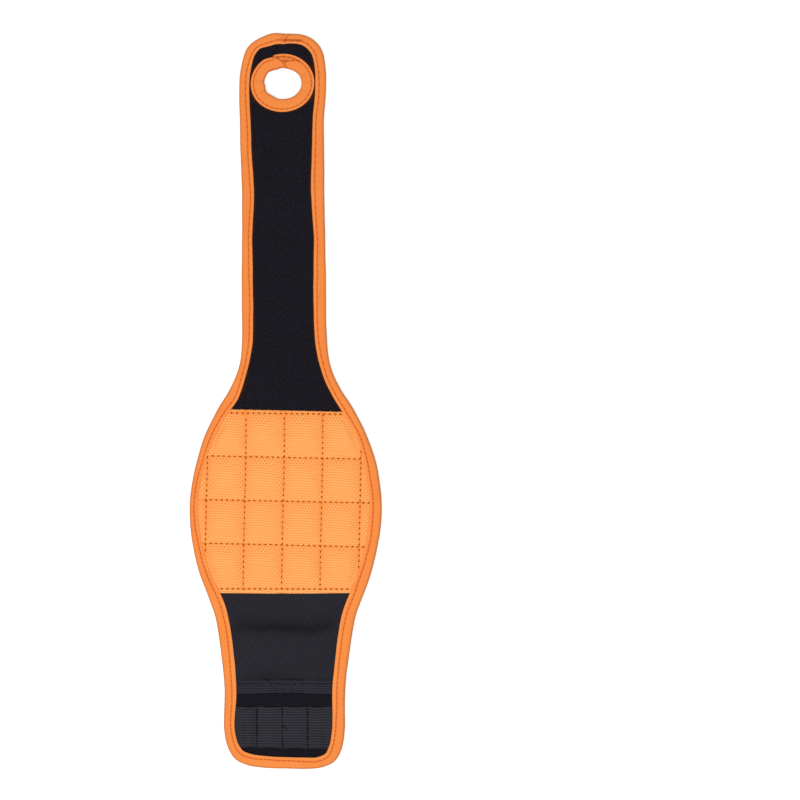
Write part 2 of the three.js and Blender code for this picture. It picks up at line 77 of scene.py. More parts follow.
def ease(value: Array | float, start: float, end: float) -> Array:
    """Smooth step from 0 at start to 1 at end: 3 t^2 - 2 t^3 of the clipped share t.

    Args:
        value: Where to read the step.
        start: Value at which it is 0; it may be the larger one.
        end: Value at which it is 1.

    Returns:
        The step, of the shape of value.
    """
    share = np.clip((np.asarray(value, float) - start) / (end - start), 0, 1)
    return share * share * (3 - 2 * share)


def bell(value: Array | float, width: float) -> Array:
    """Bell curve exp(-(value / width)^2), 1 in the middle."""
    return np.exp(-((np.asarray(value, float) / width) ** 2))


def bells(value: Array, rows: tuple[Row, ...]) -> Array:
    """Sum of bell curves: each row holds a middle, a width and a size."""
    return sum(size * bell(value - middle, width) for middle, width, size in rows)


def wander(along: Array | float, length: float, seed: int, loop: float = 0) -> Array:
    """Slow irregular wave between -1 and 1: three sines of unrelated lengths and phases.

    Args:
        along: Distance along the wave, in mm.
        length: Length of its slowest part, in mm.
        seed: Chooses the phases.
        loop: Length after which the wave repeats, or 0 if it needn't.

    Returns:
        The wave, of the shape of along.
    """
    phases = np.random.default_rng(SEED + seed).uniform(0, TURN, 3)
    total: Any = 0
    for speed, weight, phase in zip((1, 1.73, 3.19), (0.5, 0.3, 0.2), phases):
        turns = speed / length
        if loop:
            turns = max(1, round(turns * loop)) / loop
        total = total + weight * np.sin(TURN * turns * np.asarray(along, float) + phase)
    return total


def spread(start: float, end: float, step: float) -> Array:
    """Evenly spaced places from start to end, about step apart."""
    return np.linspace(start, end, max(2, math.ceil(abs(end - start) / step) + 1))


def stacked(*parts: Array | float) -> Array:
    """Arrays of coordinates, of shapes that fit each other, as one array of points."""
    return np.stack(np.broadcast_arrays(*parts), -1)


def distances(points: Array) -> Array:
    """Distance of each point along the line through them."""
    return np.concatenate([[0], np.cumsum(np.linalg.norm(np.diff(points, axis=0), axis=1))])


def unit(vectors: Array) -> Array:
    """The vectors, each scaled to a length of 1."""
    return vectors / np.linalg.norm(vectors, axis=-1, keepdims=True)


def extent(values: Array) -> float:
    """How far values reach, from the least to the greatest."""
    return float(np.ptp(values))


# ---------------------------------------------------------------- meshes


@dataclass
class Shell:
    """Quads with cloth coordinates at their corners, in millimetres.

    points is (n, 3), faces (m, 4), cloth (m, 4, 2) and finish (m,). pressed_and_painted_light (n,)
    says, from 0 to 1, how far the materials turn each point to their deep tone: where it is pulled
    into a seam, and where shade and light are painted on.
    """

    points: Array
    faces: Array
    cloth: Array
    finish: Array
    pressed_and_painted_light: Array

    def corners(self) -> list[Array]:
        """The first, second, third and fourth corners of all faces."""
        return [self.points[self.faces[:, k]] for k in range(4)]

    def area(self) -> float:
        """Area of one side of a sheet, in mm2: half the area of its faces."""
        a, b, c, d = self.corners()
        return float(np.linalg.norm(np.cross(c - a, d - b), axis=1).sum() / 4)

    def flipped(self) -> Shell:
        """The same shell with its faces turned round."""
        faces, cloth = self.faces[:, ::-1], self.cloth[:, ::-1]
        return Shell(self.points, faces, cloth, self.finish, self.pressed_and_painted_light)

    def outward(self) -> Shell:
        """The same closed shell with its faces pointing outwards, where its volume is positive: a
        sixth of the sum of the corner products of each face's two halves."""
        a, b, c, d = self.corners()
        halves = np.einsum("ij,ij->i", a, np.cross(b, c) + np.cross(c, d))
        return self if halves.sum() >= 0 else self.flipped()


def grid(points: Array, cloth: Array, finish: int = 0, pressed_and_painted_light: Array | float = 0) -> Shell:
    """A shell from a grid of points, one quad between each four neighbours.

    Args:
        points: (rows, columns, 3) places in mm.
        cloth: (rows, columns, 2) cloth coordinates in mm.
        finish: Which of the piece's finishes it wears.
        pressed_and_painted_light: Share of the deep tone at each point, for seams and for painted
            shade and light.

    Returns:
        The open shell.
    """
    rows, columns = points.shape[:2]
    i, j = np.meshgrid(np.arange(rows - 1), np.arange(columns - 1), indexing="ij")
    first = (i * columns + j).reshape(-1)
    faces = np.stack([first, first + 1, first + columns + 1, first + columns], axis=1)
    flat = cloth.reshape(-1, 2)
    depth = np.broadcast_to(np.asarray(pressed_and_painted_light, float), (rows, columns)).reshape(-1)
    return Shell(points.reshape(-1, 3), faces, flat[faces], np.full(len(faces), finish), depth)


def joined(shells: list[Shell]) -> Shell:
    """Several shells as one, in the same order."""
    starts = np.cumsum([0] + [len(shell.points) for shell in shells[:-1]])
    return Shell(
        np.concatenate([shell.points for shell in shells]),
        np.concatenate([shell.faces + start for shell, start in zip(shells, starts)]),
        np.concatenate([shell.cloth for shell in shells]),
        np.concatenate([shell.finish for shell in shells]),
        np.concatenate([shell.pressed_and_painted_light for shell in shells]),
    )


def slab(
    top: Array,
    bottom: Array,
    cloth: Array,
    finishes: tuple[int, int, int] = (0, 0, 0),
    pressed_and_painted_light: Array | float = 0,
    ring: bool = False,
) -> Shell:
    """A closed sheet between two grids of the same shape, with a rim round it.

    Args:
        top: (rows, columns, 3) outer face.
        bottom: (rows, columns, 3) inner face.
        cloth: (rows, columns, 2) cloth coordinates of both.
        finishes: Finishes of the top, the bottom and the rim.
        pressed_and_painted_light: Share of the deep tone at the points of the top, for seams and
            for painted shade and light.
        ring: Whether the last column meets the first, so that only the rows have an end.

    Returns:
        The closed shell, facing outwards.
    """
    rims = [(top[0], bottom[0], cloth[0]), (bottom[-1], top[-1], cloth[-1])]
    if not ring:
        rims += [(bottom[:, 0], top[:, 0], cloth[:, 0]), (top[:, -1], bottom[:, -1], cloth[:, -1])]
    sides = [
        grid(np.stack([low, high]), np.stack([flat, flat + WELD]), finishes[2]).flipped()
        for low, high, flat in rims
    ]
    under = grid(bottom[:, ::-1], cloth[:, ::-1], finishes[1])
    return joined([grid(top, cloth, finishes[0], pressed_and_painted_light), under, *sides]).outward()


def laid(points: Array) -> Array:
    """Points of the band as it lies in the photograph: its strap bowed sideways by about 1 mm, its
    flap's end a little askew."""
    x, y, z = points.T
    bow = -1.5 * bell(y - 135, 45) * ease(y, 180, 171) - 0.011 * x * bell(y - 70, 62)
    bow = bow + bells(y, ((58, 36, -0.6), (-28, 28, 0.35), (-156, 14, -0.45)))
    return stacked(x + bow, y - 0.024 * x * ease(y, -150, -176), z)


def make_piece(name: str, shells: list[Shell], finishes: list[Finish]) -> bpy.types.Object:
    """Puts shells into one mesh object: points that touch are welded, collapsed faces dropped.

    Args:
        name: Name of the piece.
        shells: Its closed shells, in mm.
        finishes: The finishes that the shells' numbers stand for.

    Returns:
        The object, at the origin, with its place in its mesh.
    """
    whole = joined(shells)
    whole.points = laid(whole.points)
    keys = np.round(whole.points / WELD).astype(np.int64)
    _, first, place = np.unique(keys, axis=0, return_index=True, return_inverse=True)
    faces = place.reshape(-1)[whole.faces]
    repeated = faces == np.roll(faces, -1, axis=1)
    full, three = repeated.sum(axis=1) == 0, repeated.sum(axis=1) == 1
    kept = ~repeated[three]
    corners = faces[full].tolist() + faces[three][kept].reshape(-1, 3).tolist()
    cloth = np.concatenate([whole.cloth[full].reshape(-1, 2), whole.cloth[three][kept]])
    mesh = bpy.data.meshes.new(name)
    mesh.from_pydata((whole.points[first] * MM).tolist(), [], corners)
    mesh.uv_layers.new(name=CLOTH_MAP).data.foreach_set("uv", cloth.astype(np.float32).ravel())
    numbers = np.concatenate([whole.finish[full], whole.finish[three]]).astype(np.int32)
    mesh.polygons.foreach_set("material_index", numbers)
    mesh.polygons.foreach_set("use_smooth", np.ones(len(corners), bool))
    depth = mesh.attributes.new(PRESSED_AND_PAINTED_LIGHT, "FLOAT", "POINT")
    depth.data.foreach_set("value", whole.pressed_and_painted_light[first].astype(np.float32))
    for finish in finishes:
        mesh.materials.append(finish.material())
    mesh.update(calc_edges=True)
    mesh.set_sharp_from_angle(angle=CREASE_ANGLE)
    return linked(name, mesh)


def linked(name: str, data: Any) -> bpy.types.Object:
    """A new object of the scene."""
    made = bpy.data.objects.new(name, data)
    bpy.context.scene.collection.objects.link(made)
    return made


# ---------------------------------------------------------------- finishes


def linear(code: str) -> Row:
    """A colour written as sRGB hex, turned to the linear values that shaders use."""
    parts = [int(code.lstrip("#")[k : k + 2], 16) / 255 for k in (0, 2, 4)]
    bright = [p / 12.92 if p <= 0.04045 else ((p + 0.055) / 1.055) ** 2.4 for p in parts]
    return (*bright, 1.0)


def emptied(owner: Any) -> Tree:
    """The node tree of a material or world, with nothing in it."""
    owner.use_nodes = True
    owner.node_tree.nodes.clear()
    return owner.node_tree


def add(tree: Tree, kind: str, links: dict[str | int, Any] | None = None, **settings: Any) -> Node:
    """Adds one node with its settings and links.

    Args:
        tree: Node tree that it goes into.
        kind: Type of the node, without its ShaderNode.
        links: What each input gets: another node, one of its outputs, or a plain value.
        settings: Properties of the node.

    Returns:
        The new node.
    """
    node = tree.nodes.new("ShaderNode" + kind)
    for name, value in settings.items():
        setattr(node, name, value)
    for socket, value in (links or {}).items():
        source = value.outputs[0] if isinstance(value, Node) else value
        if isinstance(source, bpy.types.NodeSocket):
            tree.links.new(source, node.inputs[socket])
        else:
            node.inputs[socket].default_value = source
    return node


def weighed(tree: Tree, *terms: tuple[Any, float]) -> Any:
    """Sum of terms, each a node or a number times its weight."""
    total: Any = 0.0
    for term, weight in terms:
        total = add(tree, "Math", {0: term, 1: weight, 2: total}, operation="MULTIPLY_ADD")
    return total


def ribs(tree: Tree, axis: Any, pitch: float) -> Node:
    """Rounded ribs across an axis: half of 1 plus the cosine of a full turn every pitch mm."""
    turned = add(tree, "Math", {0: axis, 1: TURN / pitch}, operation="MULTIPLY")
    wave = add(tree, "Math", {0: turned}, operation="COSINE")
    return add(tree, "Math", {0: wave, 1: 0.5, 2: 0.5}, operation="MULTIPLY_ADD")


def crossing(tree: Tree, axes: tuple[Any, Any], widths: Row) -> Node:
    """Which yarn lies on top in a woven cloth, from -1 to 1: the product of two sines along the
    axes, which change sign from each yarn, of its width in mm, to the next."""
    waves = []
    for axis, width in zip(axes, widths):
        turned = add(tree, "Math", {0: axis, 1: math.pi / width}, operation="MULTIPLY")
        waves.append(add(tree, "Math", {0: turned}, operation="SINE"))
    return add(tree, "Math", {0: waves[0], 1: waves[1]}, operation="MULTIPLY")


@dataclass(frozen=True)
class Finish:
    """What all finishes share: two tones of one surface, the deep tone used in seams and for
    painted shade and light, its gloss, and the sizes of its threads in mm.

    Cloth is a rough dielectric whose pores swallow much of the mirror reflection, so its specular
    level lies under the usual 0.5; loose fibre gives it a sheen. A row of ridges holds how much the
    two cloth axes turn the ribs, their pitch, and their weights in tone and height. yarns holds the
    widths of crossing yarns, fibre the grain and detail of the fibre, each with its two weights.
    """

    name: str
    shade: str
    light: str
    deep: str
    uneven: float = 0.3
    patch: float = 9.0
    roughness: float = 0.85
    specular: float = 0.2
    sheen: float = 0.0
    metallic: float = 0.0
    relief: float = 0.1
    ridges: tuple[Row, ...] = ()
    yarns: Row = ()
    fibre: Row = ()
    level: float = 0.0

    def pattern(self, tree: Tree, place: Any, u: Any, v: Any) -> tuple[Any, Any]:
        """Tone from 0, shade, to 1, light, and height from 0 to 1, over the cloth coordinates."""
        layers = []
        for across, along, pitch, *weights in self.ridges:
            layers.append((ribs(tree, weighed(tree, (u, across), (v, along)), pitch), *weights))
        if self.yarns:
            layers.append((crossing(tree, (u, v), self.yarns[:2]), *self.yarns[2:]))
        if self.fibre:
            links = {"Vector": place, "Scale": 1 / self.fibre[0], "Detail": self.fibre[1]}
            layers.append((add(tree, "TexNoise", links), *self.fibre[2:]))
        tone = weighed(tree, (1.0, self.level), *((node, weight) for node, weight, _ in layers))
        return tone, weighed(tree, *((node, weight) for node, _, weight in layers))

    def material(self) -> bpy.types.Material:
        """The material, made once for each name: pattern and slow patches mixed between the two
        tones, turned towards the deep tone in seams and where shade and light are painted on, with
        the height as bump."""
        known = bpy.data.materials.get(self.name)
        if known is not None:
            return known
        made = bpy.data.materials.new(self.name)
        tree = emptied(made)
        place = add(tree, "UVMap", uv_map=CLOTH_MAP)
        axes = add(tree, "SeparateXYZ", {0: place})
        tone, height = self.pattern(tree, place, axes.outputs[0], axes.outputs[1])
        patches = add(tree, "TexNoise", {"Vector": place, "Scale": 1 / self.patch, "Detail": 2.0})
        mixed = weighed(tree, (tone, 1 - self.uneven), (patches, self.uneven))
        # Share of the deep tone: seams, and painted shade and light.
        pressed_and_painted_light = add(tree, "Attribute", attribute_name=PRESSED_AND_PAINTED_LIGHT).outputs["Fac"]
        colour: Any = linear(self.shade)
        for share, other in ((mixed, self.light), (pressed_and_painted_light, self.deep)):
            links = {0: share, 6: colour, 7: linear(other)}
            mix = add(tree, "Mix", links, data_type="RGBA", clamp_factor=True)
            colour = mix.outputs[2]
        inputs = {
            "Base Color": colour,
            "Roughness": self.roughness,
            "Metallic": self.metallic,
            "Specular IOR Level": self.specular,
            "Sheen Weight": self.sheen,
            "Normal": add(tree, "Bump", {"Distance": self.relief * MM, "Height": height}),
        }
        add(tree, "OutputMaterial", {"Surface": add(tree, "BsdfPrincipled", inputs)})
        return made


@dataclass(frozen=True)
class WovenTape(Finish):
    """Polyester grosgrain binding: fine ribs straight across the tape give it a dull silk look, and
    a painted highlight makes it a little paler along the rounded lip of the front leg's free edge."""

    # The real ribs, about 0.6 mm apart, are too fine for the picture and are drawn twice as coarse.
    ridges: tuple[Row, ...] = ((1, 0, 1.16, 0.22, 0.5),)
    yarns: Row = (0.58, 0.6, 0.08, 0.2)
    fibre: Row = (0.5, 4, 0.8, 0.3)
    # A painted highlight pales the tape towards its front lip: selvedge holds where it starts and
    # where it is full, paler how much.
    selvedge: Row = (1.5, 0.4)
    paler: float = 0.3

    def pattern(self, tree: Tree, place: Any, u: Any, v: Any) -> tuple[Any, Any]:
        """The tape's ribs, and the painted highlight along its front lip."""
        tone, height = super().pattern(tree, place, u, v)
        inner, outer = self.selvedge
        edge = add(tree, "MapRange", {"Value": v, "From Min": inner, "From Max": outer})
        return weighed(tree, (tone, 1.0), (edge, self.paler)), height


@dataclass(frozen=True)
class BallisticWeave(Finish):
    """Coarse nylon ballistic weave: doubled yarns show as ribs across the pad, each broken up by
    the yarns that cross it."""

    yarns: Row = (0.75, 0.605, 0.08, 0.3)
    fibre: Row = (0.6, 4, 0.38, 0)
    rib: float = 1.21
    cell: float = 21.2
    fullest: float = 12.3
    woven: float = 0.6

    def pattern(self, tree: Tree, place: Any, u: Any, v: Any) -> tuple[Any, Any]:
        """Ribs across the pad, clearest in the upper part of each cell, and, where the cloth is
        drawn towards a seam, ribs that slant one way and, except close to the long seams in that
        upper part, the other way."""
        tone, height = super().pattern(tree, place, u, v)
        drawn = add(tree, "Attribute", attribute_name=PRESSED_AND_PAINTED_LIGHT).outputs["Fac"]
        links = {0: drawn, 1: 11.0, 2: -0.25}
        share = add(tree, "Math", links, operation="MULTIPLY_ADD", use_clamp=True)
        raised = ribs(tree, add(tree, "Math", {0: v, 1: self.fullest}), self.cell)
        clear = weighed(tree, (raised, 0.34), (share, -0.18), (1.0, 0.54))
        mirrored = weighed(tree, (v, 1.02), (u, -1.0))
        links = {0: weighed(tree, (v, 0.51), (u, -1.0)), 1: 5.0, 2: 3.2}
        near = add(tree, "MapRange", links)
        less = add(tree, "Math", {0: near, 1: raised}, operation="MULTIPLY")
        links = {0: weighed(tree, (less, -1.0), (1.0, 1.0)), 1: share}
        back = add(tree, "Math", links, operation="MULTIPLY")
        woven: Any = 0.5
        for axis, strength, weight in ((v, clear, 1.0), (u, share, 0.7), (mirrored, back, 0.7)):
            wave = weighed(tree, (ribs(tree, axis, self.rib), weight), (-0.5, weight))
            links = {0: wave, 1: strength, 2: woven}
            woven = add(tree, "Math", links, operation="MULTIPLY_ADD")
        return tuple(weighed(tree, (woven, self.woven), (part, 1.0)) for part in (tone, height))


@dataclass(frozen=True)
class LoopPile(Finish):
    """Brushed nylon loops laminated on foam: a soft black nap with fine paler specks."""

    fibre: Row = (2.6, 4, 0.3, 0)
    level: float = -0.05
    loop: float = 0.55

    def pattern(self, tree: Tree, place: Any, u: Any, v: Any) -> tuple[Any, Any]:
        """Loops, seen as sharp specks, over slow wisps."""
        tone, _ = super().pattern(tree, place, u, v)
        links = {"Vector": place, "Scale": 1 / self.loop}
        nap = add(tree, "TexNoise", {**links, "Detail": 3.0})
        cells = add(tree, "TexVoronoi", links)
        sharp = add(tree, "MapRange", {"Value": nap, "From Min": 0.35, "From Max": 0.75})
        return weighed(tree, (tone, 1.0), (sharp, 0.9)), weighed(tree, (nap, 0.9), (cells, 0.5))


@dataclass(frozen=True)
class KnitLining(Finish):
    """Smooth black warp knit: nearly flat, with faint wales along the band."""

    ridges: tuple[Row, ...] = ((1, 0, 0.5, 0.2, 0.5),)
    yarns: Row = (0.25, 0.25, 0, 0.3)
    fibre: Row = (0.9, 3, 0.7, 0)


@dataclass(frozen=True)
class OxfordCloth(Finish):
    """Black polyester oxford: a basket weave, whose paired yarns catch the light as a fine
    slanting check."""

    ridges: tuple[Row, ...] = ((0.573, -1, 1.0, 1.25, 0.6),)
    yarns: Row = (0.6, 0.6, 0.3, 0.3)
    fibre: Row = (0.8, 3, 0.4, 0)
    level: float = -0.26


@dataclass(frozen=True)
class RibbedTape(Finish):
    """Black woven tape with ribs along its length: each rib's back is paler than the groove."""

    ridges: tuple[Row, ...] = ((0, 1, 1.3, 0.75, 0), (1, 0, 0.7, 0.12, 0.6))
    fibre: Row = (0.7, 3, 0.3, 0.3)


@dataclass(frozen=True)
class SmoothWeb(Finish):
    """Nylon ground web of hook tape: flat, close and slightly glossy."""

    ridges: tuple[Row, ...] = ((0, 1, 0.8, 0.4, 0.7),)
    fibre: Row = (0.5, 2, 0.6, 0)


@dataclass(frozen=True)
class Thread(Finish):
    """Spun polyester sewing thread: its ply shows as a slanting twist along each stitch."""

    ridges: tuple[Row, ...] = ((1, 1, 0.5, 0.8, 1.0),)


@dataclass(frozen=True)
class NickelPlate(Finish):
    """Nickel plating on a sintered magnet: a plain bright metal with a faintly pitted skin."""

    fibre: Row = (0.4, 3, 1.0, 1.0)

    def pattern(self, tree: Tree, place: Any, u: Any, v: Any) -> tuple[Any, Any]:
        """Pits over the solid's own coordinates, because it has no cloth coordinates."""
        spot = add(tree, "TexCoord").outputs["Object"]
        scaled = add(tree, "Mapping", {0: spot, 3: (1 / MM, 1 / MM, 1 / MM)})
        return super().pattern(tree, scaled, u, v)


class Finishes:
    """The finishes of this band. Colours are the photograph's own tones under plain light."""

    # deep is painted shade: in the stitch valleys, along the free edges and the overlapped ends,
    # and over the strap.
    BINDING = WovenTape(
        "woven_polyester_binding", "#df7023", "#fb9b51", "#c85a12", 0.3, 11, sheen=0.05, relief=0.07
    )
    # deep is a stronger orange: where the weave is drawn towards the seams, and painted shade on
    # the slopes and in the needle holes.
    COVER = BallisticWeave(
        "ballistic_nylon_cover", "#e87a26", "#ffc176", "#f2822e", 0.1, 6, relief=0.14
    )
    # deep is brown: fuzz of orange yarn beside the tapes, mixed with painted light thrown back by
    # the tape.
    PILE = LoopPile(
        "brushed_nylon_loop_pile", "#030204", "#2a2830", "#42200f", 0.15, 14, 0.95, 0.03,
        relief=0.35,
    )
    LINING = KnitLining(
        "warp_knit_lining", "#19181d", "#26252b", "#0d0c10", 0.35, 18, 0.85, 0.12, 0.05, relief=0.04
    )
    FOAM = LoopPile("foam_edge", "#1b1b1f", "#303036", "#0d0c10", relief=0.1)
    # deep is painted shade: the pocket's crease, a fold, and the shadow at the hem.
    OXFORD = OxfordCloth(
        "oxford_pocket_cloth", "#010102", "#37353d", "#0b0a0e", 0.12, 13, 0.85, 0.05, relief=0.12
    )
    # deep is painted shade in the groove of the stitch row.
    HEM = RibbedTape(
        "ribbed_hem_tape", "#15141a", "#34333b", "#0e0e12", 0.2, 8, 0.85, 0.06, relief=0.05
    )
    # deep is painted shade in the grooves of the loop seams.
    ELASTIC = RibbedTape(
        "ribbed_elastic", "#1b1a1f", "#38373e", "#0d0d11", 0.2, 8, 0.85, 0.06, relief=0.05
    )
    SELVEDGE = SmoothWeb(
        "hook_tape_selvedge", "#2c2b32", "#3c3b43", "#141418", 0.3, 7, 0.55, 0.25, relief=0.04
    )
    HOOK_GROUND = SmoothWeb(
        "hook_tape_ground", "#121216", "#222127", "#0b0b0e", 0.3, 7, 0.7, 0.15, relief=0.08
    )
    HOOKS = SmoothWeb(
        "nylon_hooks", "#26252b", "#3f3e46", "#141418", 0.2, 5, 0.35, 0.4, relief=0.01
    )
    BINDING_THREAD = Thread(
        "rust_sewing_thread", "#d76a26", "#ee843a", "#8a3a12", 0.2, 5, 0.7, relief=0.04
    )
    # Needle holes in the pad and in the tapes: dark rods of painted shade, sunk where the holes lie
    # in shade.
    NEEDLE_SHADE = Thread("painted_hole_shade", "#883602", "#a84c04", "#4a2008", 0.2, 5, 0.95, 0.02, relief=0.02)
    TAPE_NEEDLE_SHADE = Thread(
        "rust_painted_hole_shade", "#a8480f", "#c8641f", "#7a300c", 0.3, 9, 0.95, 0.05, relief=0.02
    )
    COVER_THREAD = Thread(
        "orange_sewing_thread", "#e58436", "#f8a355", "#c86a24", 0.2, 5, 0.7, relief=0.04
    )
    BLACK_THREAD = Thread(
        "black_sewing_thread", "#0b0b0e", "#1c1b20", "#020203", 0.2, 5, 0.9, 0.03, relief=0.04
    )
    KNOT_THREAD = Thread(
        "dark_red_tacking_thread", "#b24c18", "#d97838", "#6a2a12", 0.3, 3, 0.8, 0.1, relief=0.04
    )
    LINT = Thread("grey_lint", "#4a4950", "#62616a", "#2a2a2e", 0.2, 5, 0.9, 0.05, relief=0.02)
    NICKEL = NickelPlate(
        "nickel_plated_magnet", "#b9b6ae", "#d8d5cd", "#8d8a83", 0.2, 3, 0.28, 0.5, 0, 1.0, 0.01
    )


# ---------------------------------------------------------------- the band's lines


@dataclass(frozen=True)
class Length:
    """One cut length of the band, with a fold line in its middle.

    low and high are where it is cut, fold is the fold line, below and above say how far a bend
    would reach on each side of it, and lower and upper are the bodies at its two ends, whose CAD
    nodes are hidden where its pieces replace them.
    """

    name: str
    low: float
    high: float
    fold: float
    below: float
    above: float
    lower: str
    upper: str

    def holds(self, y: Array) -> Array:
        """Whether places along the band lie in this length."""
        return (y >= self.low) & (y < self.high)

    def rows(self, low: float, high: float, step: float) -> Array:
        """Places of a layer's rows in this length, between the layer's own two ends."""
        return spread(max(self.low, low), min(self.high, high), step)

    def bend(self, piece: bpy.types.Object) -> None:
        """Bakes a finished piece's transform into its mesh; the piece is not bent."""
        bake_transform(piece)


LENGTHS = (
    Length("ring_end", 110.9, 180, 134.0, 14, 10, "strap_far", "ring_end"),
    Length("strap_far", 64.7, 110.9, 87.8, 16, 16, "strap_middle", "strap_far"),
    Length("strap_middle", 18.5, 64.7, 41.6, 16, 16, "strap_near", "strap_middle"),
    Length("pad_top", -15.95, 18.5, -4.6, 7, 13, "pad_row_1", "strap_near"),
    Length("pad_upper", -37.9, -15.95, -27.3, 6.5, 6.5, "pad_row_2", "pad_row_1"),
    Length("pad_middle", -59.1, -37.9, -48.5, 6.5, 6.5, "pad_row_3", "pad_row_2"),
    Length("pad_lower", -81.35, -59.1, -69.7, 6.5, 6.5, "pad_row_4", "pad_row_3"),
    Length("pocket", -118.95, -81.35, -93.0, 13, 7, "flap_pocket", "pad_row_4"),
    Length("flap_end", -180, -118.95, -144.9, 11, 11, "flap_end", "flap_pocket"),
)
RING_END, FLAP_END = LENGTHS[0], LENGTHS[-1]
PAD_LENGTHS, POCKET_LENGTHS = LENGTHS[3:8], LENGTHS[7:]


@dataclass
class Outline:
    """The band's edge: a closed centripetal Catmull-Rom curve through the CAD's own edge points,
    sampled evenly clockwise from the middle of the thumb-ring end."""

    half_length: float = 178.0
    half_width: float = 46.5
    samples: int = 3600
    turn_reach: int = 6
    shares: tuple[Row, ...] = (
        (1, 0), (0.9978, 0.183), (0.981, 0.317), (0.955, 0.402), (0.899, 0.447), (0.845, 0.4535),
        (0.763, 0.443), (0.546, 0.4365), (0.275, 0.447), (0.139, 0.452), (0.084, 0.492),
        (0.03, 0.585), (-0.025, 0.716), (-0.106, 0.867), (-0.185, 0.957), (-0.283, 1),
        (-0.371, 0.978), (-0.459, 0.903), (-0.539, 0.794), (-0.595, 0.723), (-0.685, 0.669),
        (-0.785, 0.628), (-0.894, 0.628), (-0.944, 0.589), (-0.975, 0.514), (-0.992, 0.385),
        (-0.9985, 0.23), (-1, 0),
    )
    points: Array = field(init=False)
    inward: Array = field(init=False)
    run: Array = field(init=False)
    total: float = field(init=False)
    turn: Array = field(init=False)

    def __post_init__(self) -> None:
        """Samples the curve: its points, ways inwards, distances and how sharply it turns."""
        right = np.array([(w * self.half_width, s * self.half_length) for s, w in self.shares])
        left = right[-2:0:-1] * (-1, 1)
        dense = self.curve(np.concatenate([right, left]))
        closed = np.concatenate([dense, dense[:1]])
        lengths = distances(closed)
        self.total = float(lengths[-1])
        self.run = np.arange(self.samples) * self.total / self.samples
        self.points = stacked(*(np.interp(self.run, lengths, closed[:, k]) for k in (0, 1)))
        along = unit(np.roll(self.points, -1, 0) - np.roll(self.points, 1, 0))
        self.inward = stacked(along[:, 1], -along[:, 0])
        after = np.roll(along, -2 * self.turn_reach, 0)
        cross = along[:, 1] * after[:, 0] - along[:, 0] * after[:, 1]
        step = self.total / self.samples
        self.turn = np.roll(cross, self.turn_reach) / (2 * self.turn_reach * step)

    @staticmethod
    def curve(knots: Array, steps: int = 80) -> Array:
        """Points of the closed curve: on each stretch a cubic whose end slopes weigh the chords by
        the square root of their lengths.

        Args:
            knots: (n, 2) points that it runs through.
            steps: Points on each stretch.

        Returns:
            (n * steps, 2) points.
        """
        before, start, end, after = (np.roll(knots, shift, 0) for shift in (1, 0, -1, -2))
        first, middle, last = (
            np.sqrt(np.linalg.norm(b - a, axis=1))[:, None]
            for a, b in ((before, start), (start, end), (end, after))
        )
        out = (start - before) / first - (end - before) / (first + middle) + (end - start) / middle
        into = (end - start) / middle - (after - start) / (middle + last) + (after - end) / last
        out, into = out * middle, into * middle
        t = (np.arange(steps) / steps)[None, :, None]
        start, end, out, into = (part[:, None] for part in (start, end, out, into))
        cubic = 2 * start - 2 * end + out + into
        square = -3 * start + 3 * end - 2 * out - into
        return (start + out * t + square * t**2 + cubic * t**3).reshape(-1, 2)

    def at(self, run: Array, values: Array) -> Array:
        """Values of the edge's samples at distances along it, which may run past its start."""
        where = np.mod(run, self.total) * self.samples / self.total
        low = np.floor(where).astype(int)
        share = (where - low)[..., None]
        shaped = values if values.ndim > 1 else values[:, None]
        low = np.mod(low, self.samples)
        found = shaped[low] * (1 - share) + shaped[(low + 1) % self.samples] * share
        return found if values.ndim > 1 else found[..., 0]

    def right_side(self, inset: float) -> tuple[Array, Array, Array]:
        """Places across and along the band, and distances along its edge, of the line that lies
        inset mm inside the right-hand edge, from the flap's end upwards."""
        half = self.samples // 2 + 1
        x, y = (self.points + self.inward * inset)[:half].T
        order = np.argsort(y)
        return x[order], y[order], self.run[:half][order]

    def half_width_at(self, y: Array | float, inset: float = 0.0) -> Array:
        """Half width of the band at places along it, on a line that lies inset mm inside."""
        x, along, _ = self.right_side(inset)
        return np.interp(y, along, x)

    def run_at(self, y: float, inset: float = 2.8) -> float:
        """Distance along the right-hand edge at which the line inset mm inside passes y."""
        _, along, run = self.right_side(inset)
        return float(np.interp(y, along, run))

    def side_depth(self, x: Array, y: Array) -> Array:
        """Distance from a place to the nearer side edge: across, times the edge's steepness."""
        ahead, behind = self.half_width_at(y + 0.5), self.half_width_at(y - 0.5)
        return (self.half_width_at(y) - np.abs(x)) / np.sqrt(1 + (ahead - behind) ** 2)

    def columns(self, rows: Array, step: float, inset: float) -> tuple[Array, Array]:
        """(rows, columns) places of a layer that reaches across to inset mm inside the edge."""
        reach = self.half_width_at(rows, inset)
        share = np.linspace(-1, 1, 2 * round(reach.max() / step) + 1)
        x = reach[:, None] * share
        return x, np.broadcast_to(rows[:, None], x.shape)


OUTLINE = Outline()


# ---------------------------------------------------------------- taped edges


